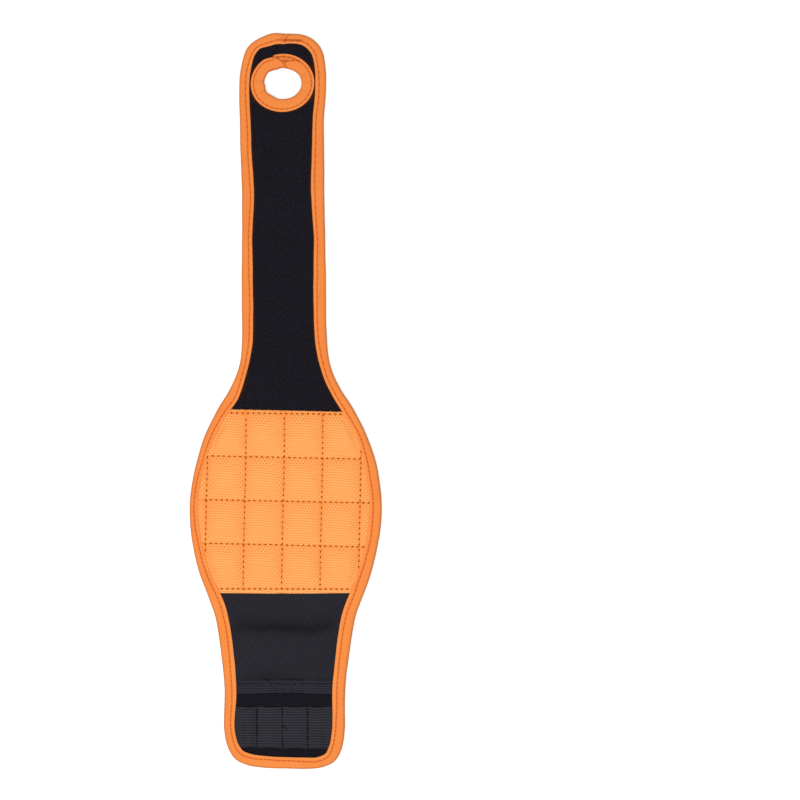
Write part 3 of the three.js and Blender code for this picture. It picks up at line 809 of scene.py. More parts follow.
@dataclass(frozen=True)
class FoldedTape:
    """Section of a tape folded round an edge: two legs that lie on the layers and are drawn in
    along their stitch lines, and a round fold. Depth is measured from the fold."""

    bottom: float = 0.9
    thickness: float = 0.9
    lip: float = 0.38
    lip_round: float = 0.7
    valley: float = 0.36
    valley_width: float = 0.4
    roll: float = 1.7
    sag: float = 0.16
    stations: Row = (
        0, 0.08, 0.2, 0.38, 0.56, 0.7, 0.8, 0.88, 0.94, 1.0, 1.06, 1.12, 1.2, 1.32, 1.5
    )
    body_steps: int = 7
    roll_steps: int = 15

    def drop(self, margin: Array, depth: Array, seam: Array) -> Array:
        """How far a leg's face lies under its full height: a rounded lip at its free edge, a bell
        shaped valley along the stitches and a slight sag towards the fold.

        Args:
            margin: Distance from the leg's free edge.
            depth: Distance from the fold.
            seam: Margin of the stitches.

        Returns:
            The drop, in mm.
        """
        lip = self.lip * (1 - ease(margin, -0.1, self.lip_round))
        valley = self.valley * bell(margin - seam, self.valley_width)
        return lip + valley + self.sag * (1 - ease(depth, self.roll * 0.6, self.roll + 1.6))

    def legs(self, width: Array, seam: Array) -> tuple[Array, Array]:
        """Margins and depths of a leg's stations, from its free edge to where the fold begins."""
        margins = np.array(self.stations) * seam[:, None]
        rest = np.linspace(0, 1, self.body_steps + 1)[1:]
        tail = width[:, None] - self.roll - margins[:, -1:]
        margin = np.concatenate([margins, margins[:, -1:] + tail * rest], 1)
        return margin, width[:, None] - margin

    def skins(
        self, width: Array, height: Array, seam: Array
    ) -> tuple[Array, Array, Array, Array]:
        """Outer and inner faces of the tape, from the front leg's free edge round the fold, a half
        circle drawn out into an oval, to the back leg's.

        Args:
            width: (rows,) width of the legs.
            height: (rows,) height of the folded tape.
            seam: (rows,) margin of the stitches.

        Returns:
            Outer and inner (rows, columns, 2) depth and height; the side each column lies on, from
            1 on the front to -1 on the back; and each column's painted shade, in the valley along
            the stitches and at the leg's free edge.
        """
        margin, depth = self.legs(width, seam)
        fall = self.drop(margin, depth, seam[:, None])
        tall = height[:, None]
        angle = np.linspace(0, math.pi, self.roll_steps + 2)[1:-1]
        none = np.zeros((len(width), len(angle)))
        middle, half = tall / 2, tall / 2 - fall[:, -1:]
        bend_depth = none + self.roll * (1 - np.sin(angle) ** 0.85)
        bend_height = middle + half * np.sign(np.cos(angle)) * np.abs(np.cos(angle)) ** 0.9
        outer = stacked(
            np.concatenate([depth, bend_depth, depth[:, ::-1]], 1),
            np.concatenate([tall - fall, bend_height, fall[:, ::-1]], 1),
        )
        inner_depth = np.maximum(outer[..., 0], self.thickness)
        side = np.concatenate([np.ones(depth.shape[1]), np.cos(angle), -np.ones(depth.shape[1])])
        low, high = self.bottom, tall - self.thickness
        inner = stacked(inner_depth, (low + high) / 2 + (high - low) / 2 * side)
        # Painted shade: darker in the valley along the stitches and along the leg's free edge.
        pressed_and_painted_light = 0.75 * bell(margin - seam[:, None], 0.28) + 0.35 * bell(margin, 0.14)
        return outer, inner, side, np.concatenate([pressed_and_painted_light, none, pressed_and_painted_light[:, ::-1]], 1)

    def stitches(
        self, edge: tuple[Array, Array], width: Array, height: Array, seam: Array, rise: Array,
        face: Face,
    ) -> tuple[Array, Array]:
        """Points and directions of the stitches along one face.

        Args:
            edge: (rows, 2) points of the fold and (rows, 2) ways from them towards the stitches.
            width: (rows,) width of the legs.
            height: (rows,) height of the folded tape.
            seam: (rows,) margin of the stitches.
            rise: (rows,) rise of the tape where its ends overlap.
            face: Side that the stitches lie on.

        Returns:
            (rows, 3) points and (rows, 3) directions.
        """
        spot, way = edge
        depth = width - seam
        fall = self.drop(seam, depth, seam)
        z = height - fall if face is Face.FRONT else fall
        points = np.column_stack([spot + way * depth[:, None], z + rise])
        return points, stacked(-way[:, 1], way[:, 0], 0.0)


def swept(edge: tuple[Array, Array], section: Array, depth: Array, rise: Array | float) -> Array:
    """Points of a tape's face: its section set up at each point of an edge.

    Args:
        edge: (rows, 2) points and (rows, 2) ways from them.
        section: (rows, columns, 2) depth and height.
        depth: (rows, columns) depth to use in the section's stead.
        rise: (rows, columns) what is added to the height.

    Returns:
        (rows, columns, 3) points.
    """
    flat = edge[0][:, None] + edge[1][:, None] * depth[..., None]
    return np.concatenate([flat, (section[..., 1] + rise)[..., None]], 2)


@dataclass
class Binding:
    """Tape folded round the whole edge of the band, its ends overlapped at the thumb-ring end.

    swells holds middles along the band, reaches, and sizes on the left and right. shifts and
    near_shifts hold middles along the edge, from its start or on both sides of it, reaches and
    sizes of the places where the tape lies farther in; near_widths and far_widths the same for the
    places where it is wider.
    """

    width: float = 5.6
    lean: float = 0.25
    swells: tuple[Row, ...] = (
        (152, 17, -0.35, -0.65), (102, 14, 0.65, 0.75), (79, 8, -0.45, -0.4), (46, 16, 0.3, 0.4),
        (17, 10, -1.0, -0.9), (4, 6, 0.8, -0.55), (-13, 11, 0.1, -0.85), (-48, 34, -1.3, -0.05),
        (-99, 8, 0.8, 0.35), (-118, 24, 0.85, 0.65), (-162, 7, -0.15, 0.2),
    )
    near_shifts: tuple[Row, ...] = ((-22, 7, 0.35), (-12, 6, 0.35), (-5, 3.5, -0.35))
    shifts: tuple[Row, ...] = (
        (54, 12, 0.3), (98, 14, 0.3), (148, 13, 0.35), (217, 9, 0.2), (288, 9, -0.3),
        (381, 10, -0.5), (423, 11, -0.4), (573, 10, 0.5),
    )
    near_widths: tuple[Row, ...] = (
        (-21, 5, 0.3), (-1.8, 2, -0.35), (-15, 2.5, -0.3), (26, 9, -0.3)
    )
    far_widths: tuple[Row, ...] = ((381, 9, -0.8), (411, 8, 0.55))
    strap_height: float = 4.6
    front_layer: float = 0.8
    ramp: tuple[float, float] = (20.0, 9.0)
    step: float = 0.45
    join_step: float = 0.16
    join_reach: float = 6.0
    join_slope: float = 0.64
    stitch_pitch: tuple[float, float] = (3.12, 2.35)
    shade: float = 0.75
    tab_middle: tuple[float, float] = (4.6, 174.9)
    tab_size: tuple[float, float] = (4.3, 5.1)
    tape: FoldedTape = field(default_factory=FoldedTape)

    def leg(self, x: Array, y: Array) -> Array:
        """Width of the legs on the left, x < 0, or right at places along the band: the width, the
        lean to the right, and a bell for each swell."""
        right = x > 0
        made = self.width + np.where(right, self.lean, -self.lean)
        for place, reach, left_size, right_size in self.swells:
            made = made + np.where(right, right_size, left_size) * bell(y - place, reach)
        return made

    def beyond(self, x: Array, y: Array) -> Array:
        """Distance of a place from the tape's free edge, towards the band's middle."""
        return OUTLINE.side_depth(x, y) - self.leg(x, y)

    def height_at(self, y: Array) -> Array:
        """Height of the folded tape: it steps up where the layers on the front begin."""
        return self.strap_height + self.front_layer * ease(y, *self.ramp)

    def width_at(self, run: Array, y: Array) -> Array:
        """Width of the legs along the edge: the legs of the two sides, blended over the ends, a
        little uneven all along, and wider left of the join than right of it."""
        local = self.local(run)
        uneven = 0.1 * wander(run, 29, 1, OUTLINE.total)
        join = 0.6 * ease(local, -3.5, -7.5) * ease(local, -20, -9)
        join = join - 0.75 * ease(local, -2, 2.5) * ease(local, 24, 10)
        join = join + bells(local, self.near_widths) + bells(run, self.far_widths)
        right = ease(self.side_run(run), -12, 12)
        legs = self.leg(1.0 + 0 * y, y) * right + self.leg(-1.0 + 0 * y, y) * (1 - right)
        return legs + uneven + join

    def side_run(self, run: Array) -> Array:
        """Distance to the nearer middle of an end, positive on the right-hand side."""
        local = self.local(run)
        far = OUTLINE.total / 2 - np.abs(local)
        return np.sign(local) * np.minimum(np.abs(local), far)

    @staticmethod
    def local(run: Array) -> Array:
        """Distance from the middle of the thumb-ring end, negative on the left."""
        return np.where(run > OUTLINE.total / 2, run - OUTLINE.total, run)

    def seam_at(self, run: Array, y: Array) -> Array:
        """Margin of the stitches: they stray a little and lie farther in on the flap."""
        flap = 0.42 * ease(y, -84, -100) * ease(y, -166, -138)
        return 1.72 + 0.2 * wander(run, 43, 4, OUTLINE.total) + flap

    def join(self, run: Array, depth: Array, side: Array) -> Array:
        """Rise of the overlapped tape ends: a step along a slanting line, fading over 14 mm, on the
        front to the left of the line, on the back to its right."""
        line = 0.1 - self.join_slope * (depth - 3) - run
        front = ease(line, 0.1, 0.4) * ease(run, -16, -3)
        back = ease(run - 3.2 + 0.4 * (depth - 2.8), 0.1, 0.4) * ease(run, 15, 6)
        return 0.5 * np.where(side > 0, front * side, back * side)

    def gathers(self, run: Array, depth: Array, width: Array, side: Array) -> Array:
        """Small pleats where the tape turns a corner: a wave along it, higher towards the free
        edge and in tighter corners."""
        curl = np.clip(OUTLINE.at(run, OUTLINE.turn), 0, 0.08)[:, None]
        stray = 2 * wander(run, 19, 2, OUTLINE.total)[:, None]
        wave = np.cos(TURN * run[:, None] / 2.9 + stray)
        return side * 1.5 * curl * wave * (depth / width[:, None]) ** 2

    def skin(self, run: Array) -> tuple[Array, Array, Array]:
        """Outer face, inner face and share of painted shade of the tape at distances along the
        edge.
        """
        edge = spot, _ = OUTLINE.at(run, OUTLINE.points), OUTLINE.at(run, OUTLINE.inward)
        y = spot[:, 1]
        width, height = self.width_at(run, y), self.height_at(y)
        outer, inner, side, pressed_and_painted_light = self.tape.skins(width, height, self.seam_at(run, y))
        local = self.local(run)
        depth = outer[..., 0]
        # Painted shadow: two dark lines along the edge of the overlapped tape end on the front.
        line = local[:, None] - 0.4 + self.join_slope * (depth - 3)
        lines = bell(line, 0.35) + 0.8 * bell(line + 2.1, 0.3)
        pressed_and_painted_light = np.maximum(pressed_and_painted_light, 1.1 * lines * (side > 0) * ease(depth, 3.9, 3.3))
        # Painted shade: the tape is a little darker along the strap, where less light falls.
        pressed_and_painted_light = pressed_and_painted_light + 0.11 * (ease(y, -10, 25) * ease(y, 160, 120))[:, None]
        lift = self.join(local[:, None], depth, side) + self.gathers(run, depth, width, side)
        shift = 0.13 * wander(run, 52, 3, OUTLINE.total)
        shift = (shift + bells(local, self.near_shifts) + bells(run, self.shifts))[:, None]
        faces = [
            swept(edge, part, part[..., 0] + shift * (1 - ease(part[..., 0], 2, 5)), rise)
            for part, rise in ((outer, lift), (inner, 0))
        ]
        return *faces, pressed_and_painted_light * self.shade

    def runs(self, length: Length) -> list[Array]:
        """Distances along the edge of the tape's stretches in one cut length of the band."""
        total = OUTLINE.total
        if length is RING_END:
            near = spread(-self.join_reach, self.join_reach, self.join_step)
            right = spread(self.join_reach, OUTLINE.run_at(length.low), self.step)[1:]
            return [np.concatenate([-right[::-1], near, right])]
        start = OUTLINE.run_at(length.high)
        if length is FLAP_END:
            return [spread(start, total - start, self.step)]
        right = spread(start, OUTLINE.run_at(length.low), self.step)
        return [right, total - right[::-1]]

    def shells(self, length: Length) -> list[Shell]:
        """Closed shells of the tape in one cut length."""
        made = []
        for run in self.runs(length):
            outer, inner, pressed_and_painted_light = self.skin(run)
            cloth = stacked(run[:, None], distances(outer[len(run) // 2])[None])
            made.append(slab(outer, inner, cloth, pressed_and_painted_light=pressed_and_painted_light))
        return made

    def tab(self) -> Shell:
        """Loose end of the tape: folded under and tacked down over the join on the back, where it
        stands out inwards with rounded corners."""
        across, along = np.meshgrid(np.linspace(-1, 1, 33), np.linspace(0, 1, 23))
        (x, y), (half, high) = self.tab_middle, self.tab_size
        x = x + half * across * (1 - 0.16 * along**4) + 0.25 * np.sin(5 * along)
        y = y - high * along * (1 - 0.1 * across**4)
        rim = (1 - across**8) * (1 - (2 * along - 1) ** 8)
        puckers = 0.09 * np.cos(7 * across + 2 * along) + 0.08 * np.cos(11 * along)
        z = 0.35 * along - (0.62 + puckers) * np.sqrt(rim)
        # Painted shade along the tab's fold and round its rim.
        pressed_and_painted_light = 0.5 * bell(along - 0.3, 0.08) + 0.6 * ease(rim, 0.5, 0.1)
        cloth = stacked(half * across, high * along)
        return slab(stacked(x, y, 0.15 + 0.35 * along), stacked(x, y, z), cloth, pressed_and_painted_light=pressed_and_painted_light)

    def stitch_line(self, face: Face) -> tuple[Array, Array]:
        """Points and directions of the stitches along one face, pitch apart."""
        strap = ease(OUTLINE.points[:, 1], -20, 20)
        pitch = self.stitch_pitch[1] + (self.stitch_pitch[0] - self.stitch_pitch[1]) * strap
        count = np.cumsum(OUTLINE.total / OUTLINE.samples / pitch)
        run = np.interp(np.arange(1, int(count[-1])), count, OUTLINE.run)
        edge = spot, _ = OUTLINE.at(run, OUTLINE.points), OUTLINE.at(run, OUTLINE.inward)
        y = spot[:, 1]
        width, seam = self.width_at(run, y), self.seam_at(run, y)
        rise = self.join(self.local(run), width - seam, np.full(len(run), float(face.value)))
        return self.tape.stitches(edge, width, self.height_at(y), seam, rise, face)


EDGE = Binding()


@dataclass
class ThumbRing:
    """Tape folded round the thumb hole, puckered at the fold, its ends overlapped at the top.

    dents holds angles, reaches and shares by which the hole strays from its oval; creases angles
    and how far in they reach, as a share of the leg, of lines of painted crease shade, which have
    no fold in the shape.
    """

    centre_y: float = 153.8
    hole: tuple[float, float] = (9.1, 7.45)
    side_width: float = 6.3
    width: float = 6.8
    height: float = 4.6
    steps: int = 480
    stitches: int = 34
    seam: float = 1.3
    line: tuple[float, float] = (78.0, 33.0)
    shade: float = 0.75
    dents: tuple[Row, ...] = (
        (36, 18, 0.02), (93, 9, 0.02), (108, 8, -0.03), (138, 13, 0.07), (190, 12, -0.06),
        (235, 16, -0.055), (300, 14, 0.012),
    )
    creases: tuple[Row, ...] = ((172, 0.6), (205, 0.4), (20, 0.45))
    tape: FoldedTape = field(
        default_factory=lambda: FoldedTape(valley=0.3, valley_width=0.36, lip=0.3, roll=1.5)
    )

    def frame(self, angle: Array) -> tuple[Array, Array, Array]:
        """Points of the hole's slightly uneven oval, the way outwards from them and the width of
        the legs there: the hole drawn in at its upper left by the tape's overlapped ends.

        Args:
            angle: (rows,) angles round the hole.

        Returns:
            (rows, 2) points, (rows, 2) directions and (rows,) widths.
        """
        round_it = stacked(np.cos(angle), np.sin(angle))
        turn = np.degrees(angle)
        inner = round_it * self.hole * (1 + bells(turn, self.dents))[:, None]
        notch = ease(turn, 107, 111) * ease(turn, 130, 112)
        low = ease(turn, 200, 262) * ease(turn, 340, 275)
        outer = round_it * (self.hole[0] + self.side_width, self.hole[1] + self.width)
        outer = outer * (1 - 0.05 * notch - 0.03 * low)[:, None]
        width = np.linalg.norm(outer - inner, axis=1)
        return inner + (0, self.centre_y), unit(outer - inner), width

    def lift(self, angle: Array, share: Array, side: Array) -> Array:
        """Rise of the overlapped end, which lies on top to the left of a slanting line, plus the
        radial puckers, which are highest at the fold."""
        turn = np.degrees(angle)[:, None]
        line = self.line[0] + self.line[1] * share
        end = 0.75 * ease(turn - line, 0, 2.5) * ease(turn, 165, 122)
        waves = np.cos(31 * angle)[:, None] + 0.6 * np.cos(17 * angle + 1)[:, None]
        knots = 1 + 1.6 * bell(turn - 96, 16)
        return side * (end * (side > 0) + 0.05 * waves * knots * (1 - share) ** 0.7)

    def shell(self) -> Shell:
        """The ring as one closed shell."""
        angle = np.linspace(0, TURN, self.steps + 1)
        spot, outward, width = self.frame(angle)
        seam = np.full(len(angle), self.seam)
        outer, inner, side, pressed_and_painted_light = self.tape.skins(width, 0 * width + self.height, seam)
        share = outer[..., 0] / width[:, None]
        turn = np.degrees(angle)[:, None]
        line = turn - self.line[0] + 0.5 - self.line[1] * share
        # Painted shadow along the edge of the overlapped end, and a slight darkening all round;
        # below, painted shade along the creases.
        pressed_and_painted_light = np.maximum(pressed_and_painted_light, 1.2 * bell(line, 2.0) * (side > 0)) + 0.02
        for place, reach in self.creases:
            crease = bell(turn - place - 9 * share, 2.2) * ease(share, reach + 0.15, reach - 0.1)
            pressed_and_painted_light = pressed_and_painted_light + 0.5 * crease * (side > 0)
        lift = self.lift(angle, share, side[None])
        lift[-1] = lift[0]
        faces = [
            swept((spot, outward), part, part[..., 0], rise)
            for part, rise in ((outer, lift), (inner, 0))
        ]
        radius = self.hole[0] + self.width / 2
        cloth = stacked(radius * angle[:, None], distances(faces[0][0])[None])
        columns = [np.swapaxes(part, 0, 1) for part in (*faces, cloth)]
        return slab(*columns, pressed_and_painted_light=pressed_and_painted_light.T * self.shade, ring=True)

    def stitch_line(self, face: Face) -> tuple[Array, Array]:
        """Points and directions of the stitches along one face."""
        angle = np.arange(self.stitches) / self.stitches * TURN
        spot, outward, width = self.frame(angle)
        seam = 0 * width + self.seam
        side = np.full((len(angle), 1), float(face.value))
        rise = self.lift(angle, ((width - seam) / width)[:, None], side)[:, 0]
        return self.tape.stitches((spot, outward), width, self.height, seam, rise, face)


# ---------------------------------------------------------------- laminate, pad and pocket


@dataclass(frozen=True)
class Quilt:
    """Seams of the pad: a grid of stitch lines, a little out of square as on the real one.

    row_holes and column_holes hold the place of one needle hole on each seam.
    """

    rows: Row = (-90.9, -69.7, -48.5, -27.3, -6.1)
    row_tilts: Row = (-0.003, -0.024, -0.020, -0.022, -0.013)
    columns: Row = (-38.3, -19.7, -1.1, 17.5, 36.1)
    column_tilt: float = 0.0145
    middle: float = -48.5
    pitch: float = 2.64
    row_holes: Row = (1.1, 0.9, 0.8, -1.0, 0.4)
    column_holes: Row = (-48.4, -48.7, -48.0, -49.1, -48.4)

    def row_seams(self, x: Array) -> Array:
        """Heights of the cross seams at places across, the lowest first."""
        return np.stack([row + tilt * x for row, tilt in zip(self.rows, self.row_tilts)])

    def column_seams(self, y: Array) -> Array:
        """Places of the long seams at places along the band, the left one first."""
        return np.stack([column + self.column_tilt * (y - self.middle) for column in self.columns])

    def past_holes(self, x: Array, y: Array) -> tuple[Array, Array]:
        """Way along the nearest long seam, and along the nearest cross seam, from its nearest
        needle hole."""
        made = []
        for along, place, seams, holes in (
            (y, x, self.column_seams(y), self.column_holes),
            (x, y, self.row_seams(x), self.row_holes),
        ):
            hole = np.array(holes)[np.abs(place - seams).argmin(0)]
            made.append(np.mod(along - hole + self.pitch / 2, self.pitch) - self.pitch / 2)
        return made[0], made[1]

    @staticmethod
    def cell(place: Array, seams: Array) -> tuple[Array, Array]:
        """Distance to the nearest of some seams, and the place between its two seams from -1 to 1,
        which stays at -1 or 1 outside the outer seams."""
        count = (place > seams).sum(0)
        low = np.take_along_axis(seams, np.clip(count - 1, 0, 3)[None], 0)[0]
        high = np.take_along_axis(seams, np.clip(count, 1, 4)[None], 0)[0]
        share = np.clip((place - low) / (high - low), 0, 1) * 2 - 1
        return np.abs(place - seams).min(0), share

    def across(self, x: Array, y: Array) -> tuple[Array, Array]:
        """Distance to the nearest long seam, and the place between two of them."""
        return self.cell(x, self.column_seams(y))

    def along(self, x: Array, y: Array) -> tuple[Array, Array]:
        """Distance to the nearest cross seam, and the place between two of them."""
        return self.cell(y, self.row_seams(x))


QUILT = Quilt()


@dataclass(frozen=True)
class Laminate:
    """Loop pile, foam and knit lining bonded into one sheet, the body of the band.

    pad holds the two ends of the pad, hooks the middle, half width and upper end of the hook strip.
    """

    top: float = 3.7
    bottom: float = 0.9
    inset: float = 2.6
    nap: float = 0.32
    back_puff: float = 0.42
    cell_puff: float = 0.12
    taped: float = 5.4
    pad: tuple[float, float] = (-93.0, -4.6)
    hooks: tuple[float, float, float] = (0.3, 15.0, -122.6)
    creases: Row = (99.0, 3.5)
    end: float = 175.15
    step: float = 0.75
    columns: int = 240
    rings: int = 42

    def ring_distance(self, ring: ThumbRing, x: Array, y: Array) -> Array:
        """Distance from the thumb hole's edge, outwards."""
        across, along = x / ring.hole[0], (y - ring.centre_y) / ring.hole[1]
        return (np.hypot(across, along) - 1) * sum(ring.hole) / 2

    def faces(self, ring: ThumbRing, x: Array, y: Array) -> tuple[Array, Array]:
        """Heights of the pile and of the lining: both puff out beside the tapes, the pile only on
        the bare strap, the lining in the pad's cells, and the lining is flat under the hooks."""
        depth = OUTLINE.side_depth(x, y)
        open_ring = ease(self.ring_distance(ring, x, y), ring.width - 0.2, ring.width + 3.5)
        clear = ease(depth, self.taped - 0.3, self.taped + 3.2) * open_ring
        bare = ease(y, self.pad[1] + 0.6, self.pad[1] + 5) + 0.5 * ease(y, -141, -144)
        uneven = 0.05 * wander(x + 0.6 * y, 17, 11) + 0.04 * wander(y - 0.4 * x, 9, 12)
        top = self.top + (self.nap + uneven) * clear * bare
        cells = (1 - QUILT.across(x, y)[1] ** 4) * (1 - QUILT.along(x, y)[1] ** 4)
        in_pad = ease(y, self.pad[0] - 1, self.pad[0]) * ease(y, self.pad[1] + 1, self.pad[1])
        padded = (self.back_puff + self.cell_puff) * cells
        puff = self.back_puff * (1 - in_pad) + padded * in_pad
        middle, half, hook_top = self.hooks
        beside = np.maximum(np.abs(x - middle) - half, y - hook_top)
        puff = puff * ease(beside, 0.2, 2.4)
        for place in self.creases:
            puff = puff - 0.12 * bell(y - place - 0.02 * x, 0.9)
        return top, self.bottom - puff * clear - 0.5 * uneven * clear

    def ring_grid(self, ring: ThumbRing, low: float) -> tuple[Array, Array]:
        """Places of the rays from the thumb hole to the taped edge and to the cut line."""
        edge = (OUTLINE.points + OUTLINE.inward * self.inset) - (0, ring.centre_y)
        half = float(OUTLINE.half_width_at(low, self.inset))
        cut = stacked(np.linspace(half, -half, 200), low - ring.centre_y)
        line = np.concatenate([edge[edge[:, 1] > low - ring.centre_y], cut])
        turn = np.arctan2(line[:, 1], line[:, 0])
        order = np.argsort(turn)
        corner = math.atan2(low - ring.centre_y, half)
        angles = np.linspace(-math.pi, math.pi, self.columns + 1)
        angles = np.sort(np.concatenate([angles, [corner, -math.pi - corner]]))
        reach = np.interp(angles, turn[order], np.hypot(*line.T)[order], period=TURN)
        way = stacked(np.cos(angles), np.sin(angles))
        hole = way * (np.array(ring.hole) + ring.width * 0.35)
        share = np.linspace(0, 1, self.rings)[:, None, None]
        spots = hole * (1 - share) + way * reach[:, None] * share
        return spots[..., 0], spots[..., 1] + ring.centre_y

    def shell(self, length: Length, ring: ThumbRing) -> Shell:
        """Closed sheet of one cut length."""
        if length is RING_END:
            x, y = self.ring_grid(ring, length.low)
        else:
            rows = length.rows(-self.end, self.end, self.step)
            x, y = OUTLINE.columns(rows, self.step, self.inset)
        top, bottom = self.faces(ring, x, y)
        layers = stacked(x, y, top), stacked(x, y, bottom), stacked(x, y)
        near = np.minimum(EDGE.beyond(x, y), self.ring_distance(ring, x, y) - ring.width)
        # Beside the tapes the pile turns brown: orange fuzz from the tape, and painted light that
        # the orange tape throws back onto it.
        fuzz_and_tape_light = 0.75 * ease(near, 0.9, 0.1)
        return slab(*layers, finishes=(0, 1, 2), pressed_and_painted_light=fuzz_and_tape_light, ring=length is RING_END)


@dataclass
class PadCover:
    """Padded cover of the magnets: it crowns in each cell, is drawn down along the seams and at
    each needle hole, and has a frayed edge towards the strap.

    recess holds the radius and the ceiling of the room for each magnet. slants holds, for the
    pleats that run from the holes of the long and of the cross seams, their lean, reach and height.
    """

    base: float = 3.7
    cloth: float = 0.8
    rise: float = 1.62
    plump: float = 0.5
    top: float = -4.75
    bottom: float = -92.85
    inset: float = 2.6
    step: float = 0.34
    recess: tuple[float, float] = (5.4, 5.35)
    disc: float = 5.0
    over_disc: float = 1.28
    edge_tilt: float = -0.022
    slants: tuple[Row, ...] = ((0.9, 2.4, 0.055), (0.5, 1.9, 0.05))
    relax_step: float = 0.8
    relax_rounds: int = 500
    relax_box: Row = (-47.0, 47.01, -94.0, -3.9)
    discs: Array = field(init=False)
    tent: Array = field(init=False)

    def __post_init__(self) -> None:
        """Reads the magnets' middles from their CAD nodes and draws the cloth tight over them."""
        names = [f"pad_row_{row}_magnet_{place}" for row in range(1, 5) for place in range(1, 5)]
        self.discs = np.array([((a + b) / 2 / MM)[:2] for a, b in map(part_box, names)])
        self.tent = self.relaxed()

    def disc_gap(self, x: Array, y: Array) -> Array:
        """Distance to the middle of the nearest magnet."""
        return np.hypot(x[..., None] - self.discs[:, 0], y[..., None] - self.discs[:, 1]).min(-1)

    def relaxed(self) -> Array:
        """Cloth drawn tight over the magnets: on a coarse grid each point is set again and again to
        the mean of its four neighbours, held down at the seams and the tape and up by the discs.

        Returns:
            (rows, columns) heights, from 0 to 1.
        """
        left, right, low, high = self.relax_box
        x, y = np.meshgrid(
            np.arange(left, right, self.relax_step), np.arange(low, high, self.relax_step)
        )
        seams = np.minimum(QUILT.across(x, y)[0], QUILT.along(x, y)[0])
        held = (seams < 0.6) | (EDGE.beyond(x, y) < 0.3)
        on_disc = self.disc_gap(x, y) < self.disc
        cloth = np.where(on_disc, 1.0, 0.0)
        for _ in range(self.relax_rounds):
            mean = cloth.copy()
            mean[1:-1, 1:-1] = (
                cloth[:-2, 1:-1] + cloth[2:, 1:-1] + cloth[1:-1, :-2] + cloth[1:-1, 2:]
            ) / 4
            cloth = np.where(held, 0.0, np.where(on_disc, 1.0, mean))
        return cloth

    def tented(self, x: Array, y: Array) -> Array:
        """The relaxed cloth's height at any place, between its four nearest grid points."""
        rows, columns = self.tent.shape
        column = np.clip((x - self.relax_box[0]) / self.relax_step, 0, columns - 1.001)
        row = np.clip((y - self.relax_box[2]) / self.relax_step, 0, rows - 1.001)
        c, r = column.astype(int), row.astype(int)
        fc, fr = column - c, row - r
        low = self.tent[r, c] * (1 - fc) + self.tent[r, c + 1] * fc
        high = self.tent[r + 1, c] * (1 - fc) + self.tent[r + 1, c + 1] * fc
        return low * (1 - fr) + high * fr

    def top_edge(self, x: Array) -> Array:
        """The cover's edge towards the strap, which slopes a little."""
        return self.top + 0.1 + self.edge_tilt * x

    def surface(self, x: Array, y: Array) -> tuple[Array, Array]:
        """Height of the cover, and the share of its deep tone: the weave drawn towards the seams,
        with painted shade on the slopes beside them, in the upper part of each cell, along the
        seams and in the needle holes. The height is that of the base and the cloth, plus a crown
        that mixes a plump cushion with the tight cloth, is no lower than the magnets and dips under
        the tape, plus pleats from the needle holes, less the seam, its holes and the thin edge."""
        du, cu = QUILT.across(x, y)
        dv, cv = QUILT.along(x, y)
        full = (1 - np.abs(cu) ** 3.2) * (1 - np.abs(cv) ** 3.2)
        depth = EDGE.beyond(x, y)
        crown = self.rise * (self.plump * full + (1 - self.plump) * self.tented(x, y))
        disc = self.over_disc * ease(self.disc_gap(x, y), 6.4, 5.0) * ease(depth, -0.2, 0.5)
        crown = np.maximum(crown * ease(depth, 0.1, 3.6), disc)
        outside = (np.abs(cu) >= 1) * ease(depth, 0, 1.6) * ease(du, 0, 2.4) * ease(dv, 0.2, 3)
        crown = crown + 0.45 * outside
        seam, holes = 0.0, 0.0
        ways = QUILT.past_holes(x, y)
        for near, other, past, (lean, reach, high) in zip((du, dv), (dv, du), ways, self.slants):
            pleat = np.cos(TURN / QUILT.pitch * (past - lean * near)) * bell(near, reach)
            crown = crown + high * pleat * ease(other, 0.5, 2.5)
            seam = np.maximum(seam, bell(near, 0.5))
            holes = np.maximum(holes, bell(near, 0.62) * bell(past, 0.62))
        inside = ease(depth, -0.3, 0.5)
        seam, holes = seam * inside, holes * inside
        edge = 0.3 * ease(y, self.top_edge(x) - 0.7, self.top_edge(x))
        uneven = 0.05 * wander(x, 23, 21) * wander(y, 19, 22) * inside
        height = self.base + self.cloth + crown - 0.06 * seam - 0.18 * holes - edge + uneven
        # The weave drawn towards the seams, with painted shade: darker slopes beside the long seams
        # and in the upper part of each cell, a band just under the top seam, the seams and the
        # needle holes.
        slope = 0.44 * np.exp(-du / 2.8) * (0.66 + 0.34 * cv) + 0.12 * ease(cv, 0.3, 1)
        slope = slope + 0.06 * bell(y + 8.4, 1.6)
        slope = slope * ease(y, self.bottom, self.bottom + 3) * ease(depth, -0.4, 1)
        return height, np.clip(slope + 0.05 * seam + 0.35 * holes, 0, 1)

    def drawn(self, x: Array, y: Array) -> Array:
        """Cloth coordinates: the first runs along the slant in which the drawn weave breaks up
        beside the long seams, the second along the band; the weave dips towards the long seams,
        most in the upper part of each cell."""
        du, cv = QUILT.across(x, y)[0], QUILT.along(x, y)[1]
        pull = (0.6 + 0.4 * cv) * 1.5 * np.exp(-du / 2.1)
        warp = 0.25 * wander(x, 31, 23) + 0.2 * wander(y, 27, 24)
        slant = 0.51 * y + 0.03 * x - 0.79 * du + 0.4 * warp
        return stacked(slant, y + 0.06 * x + pull + warp)

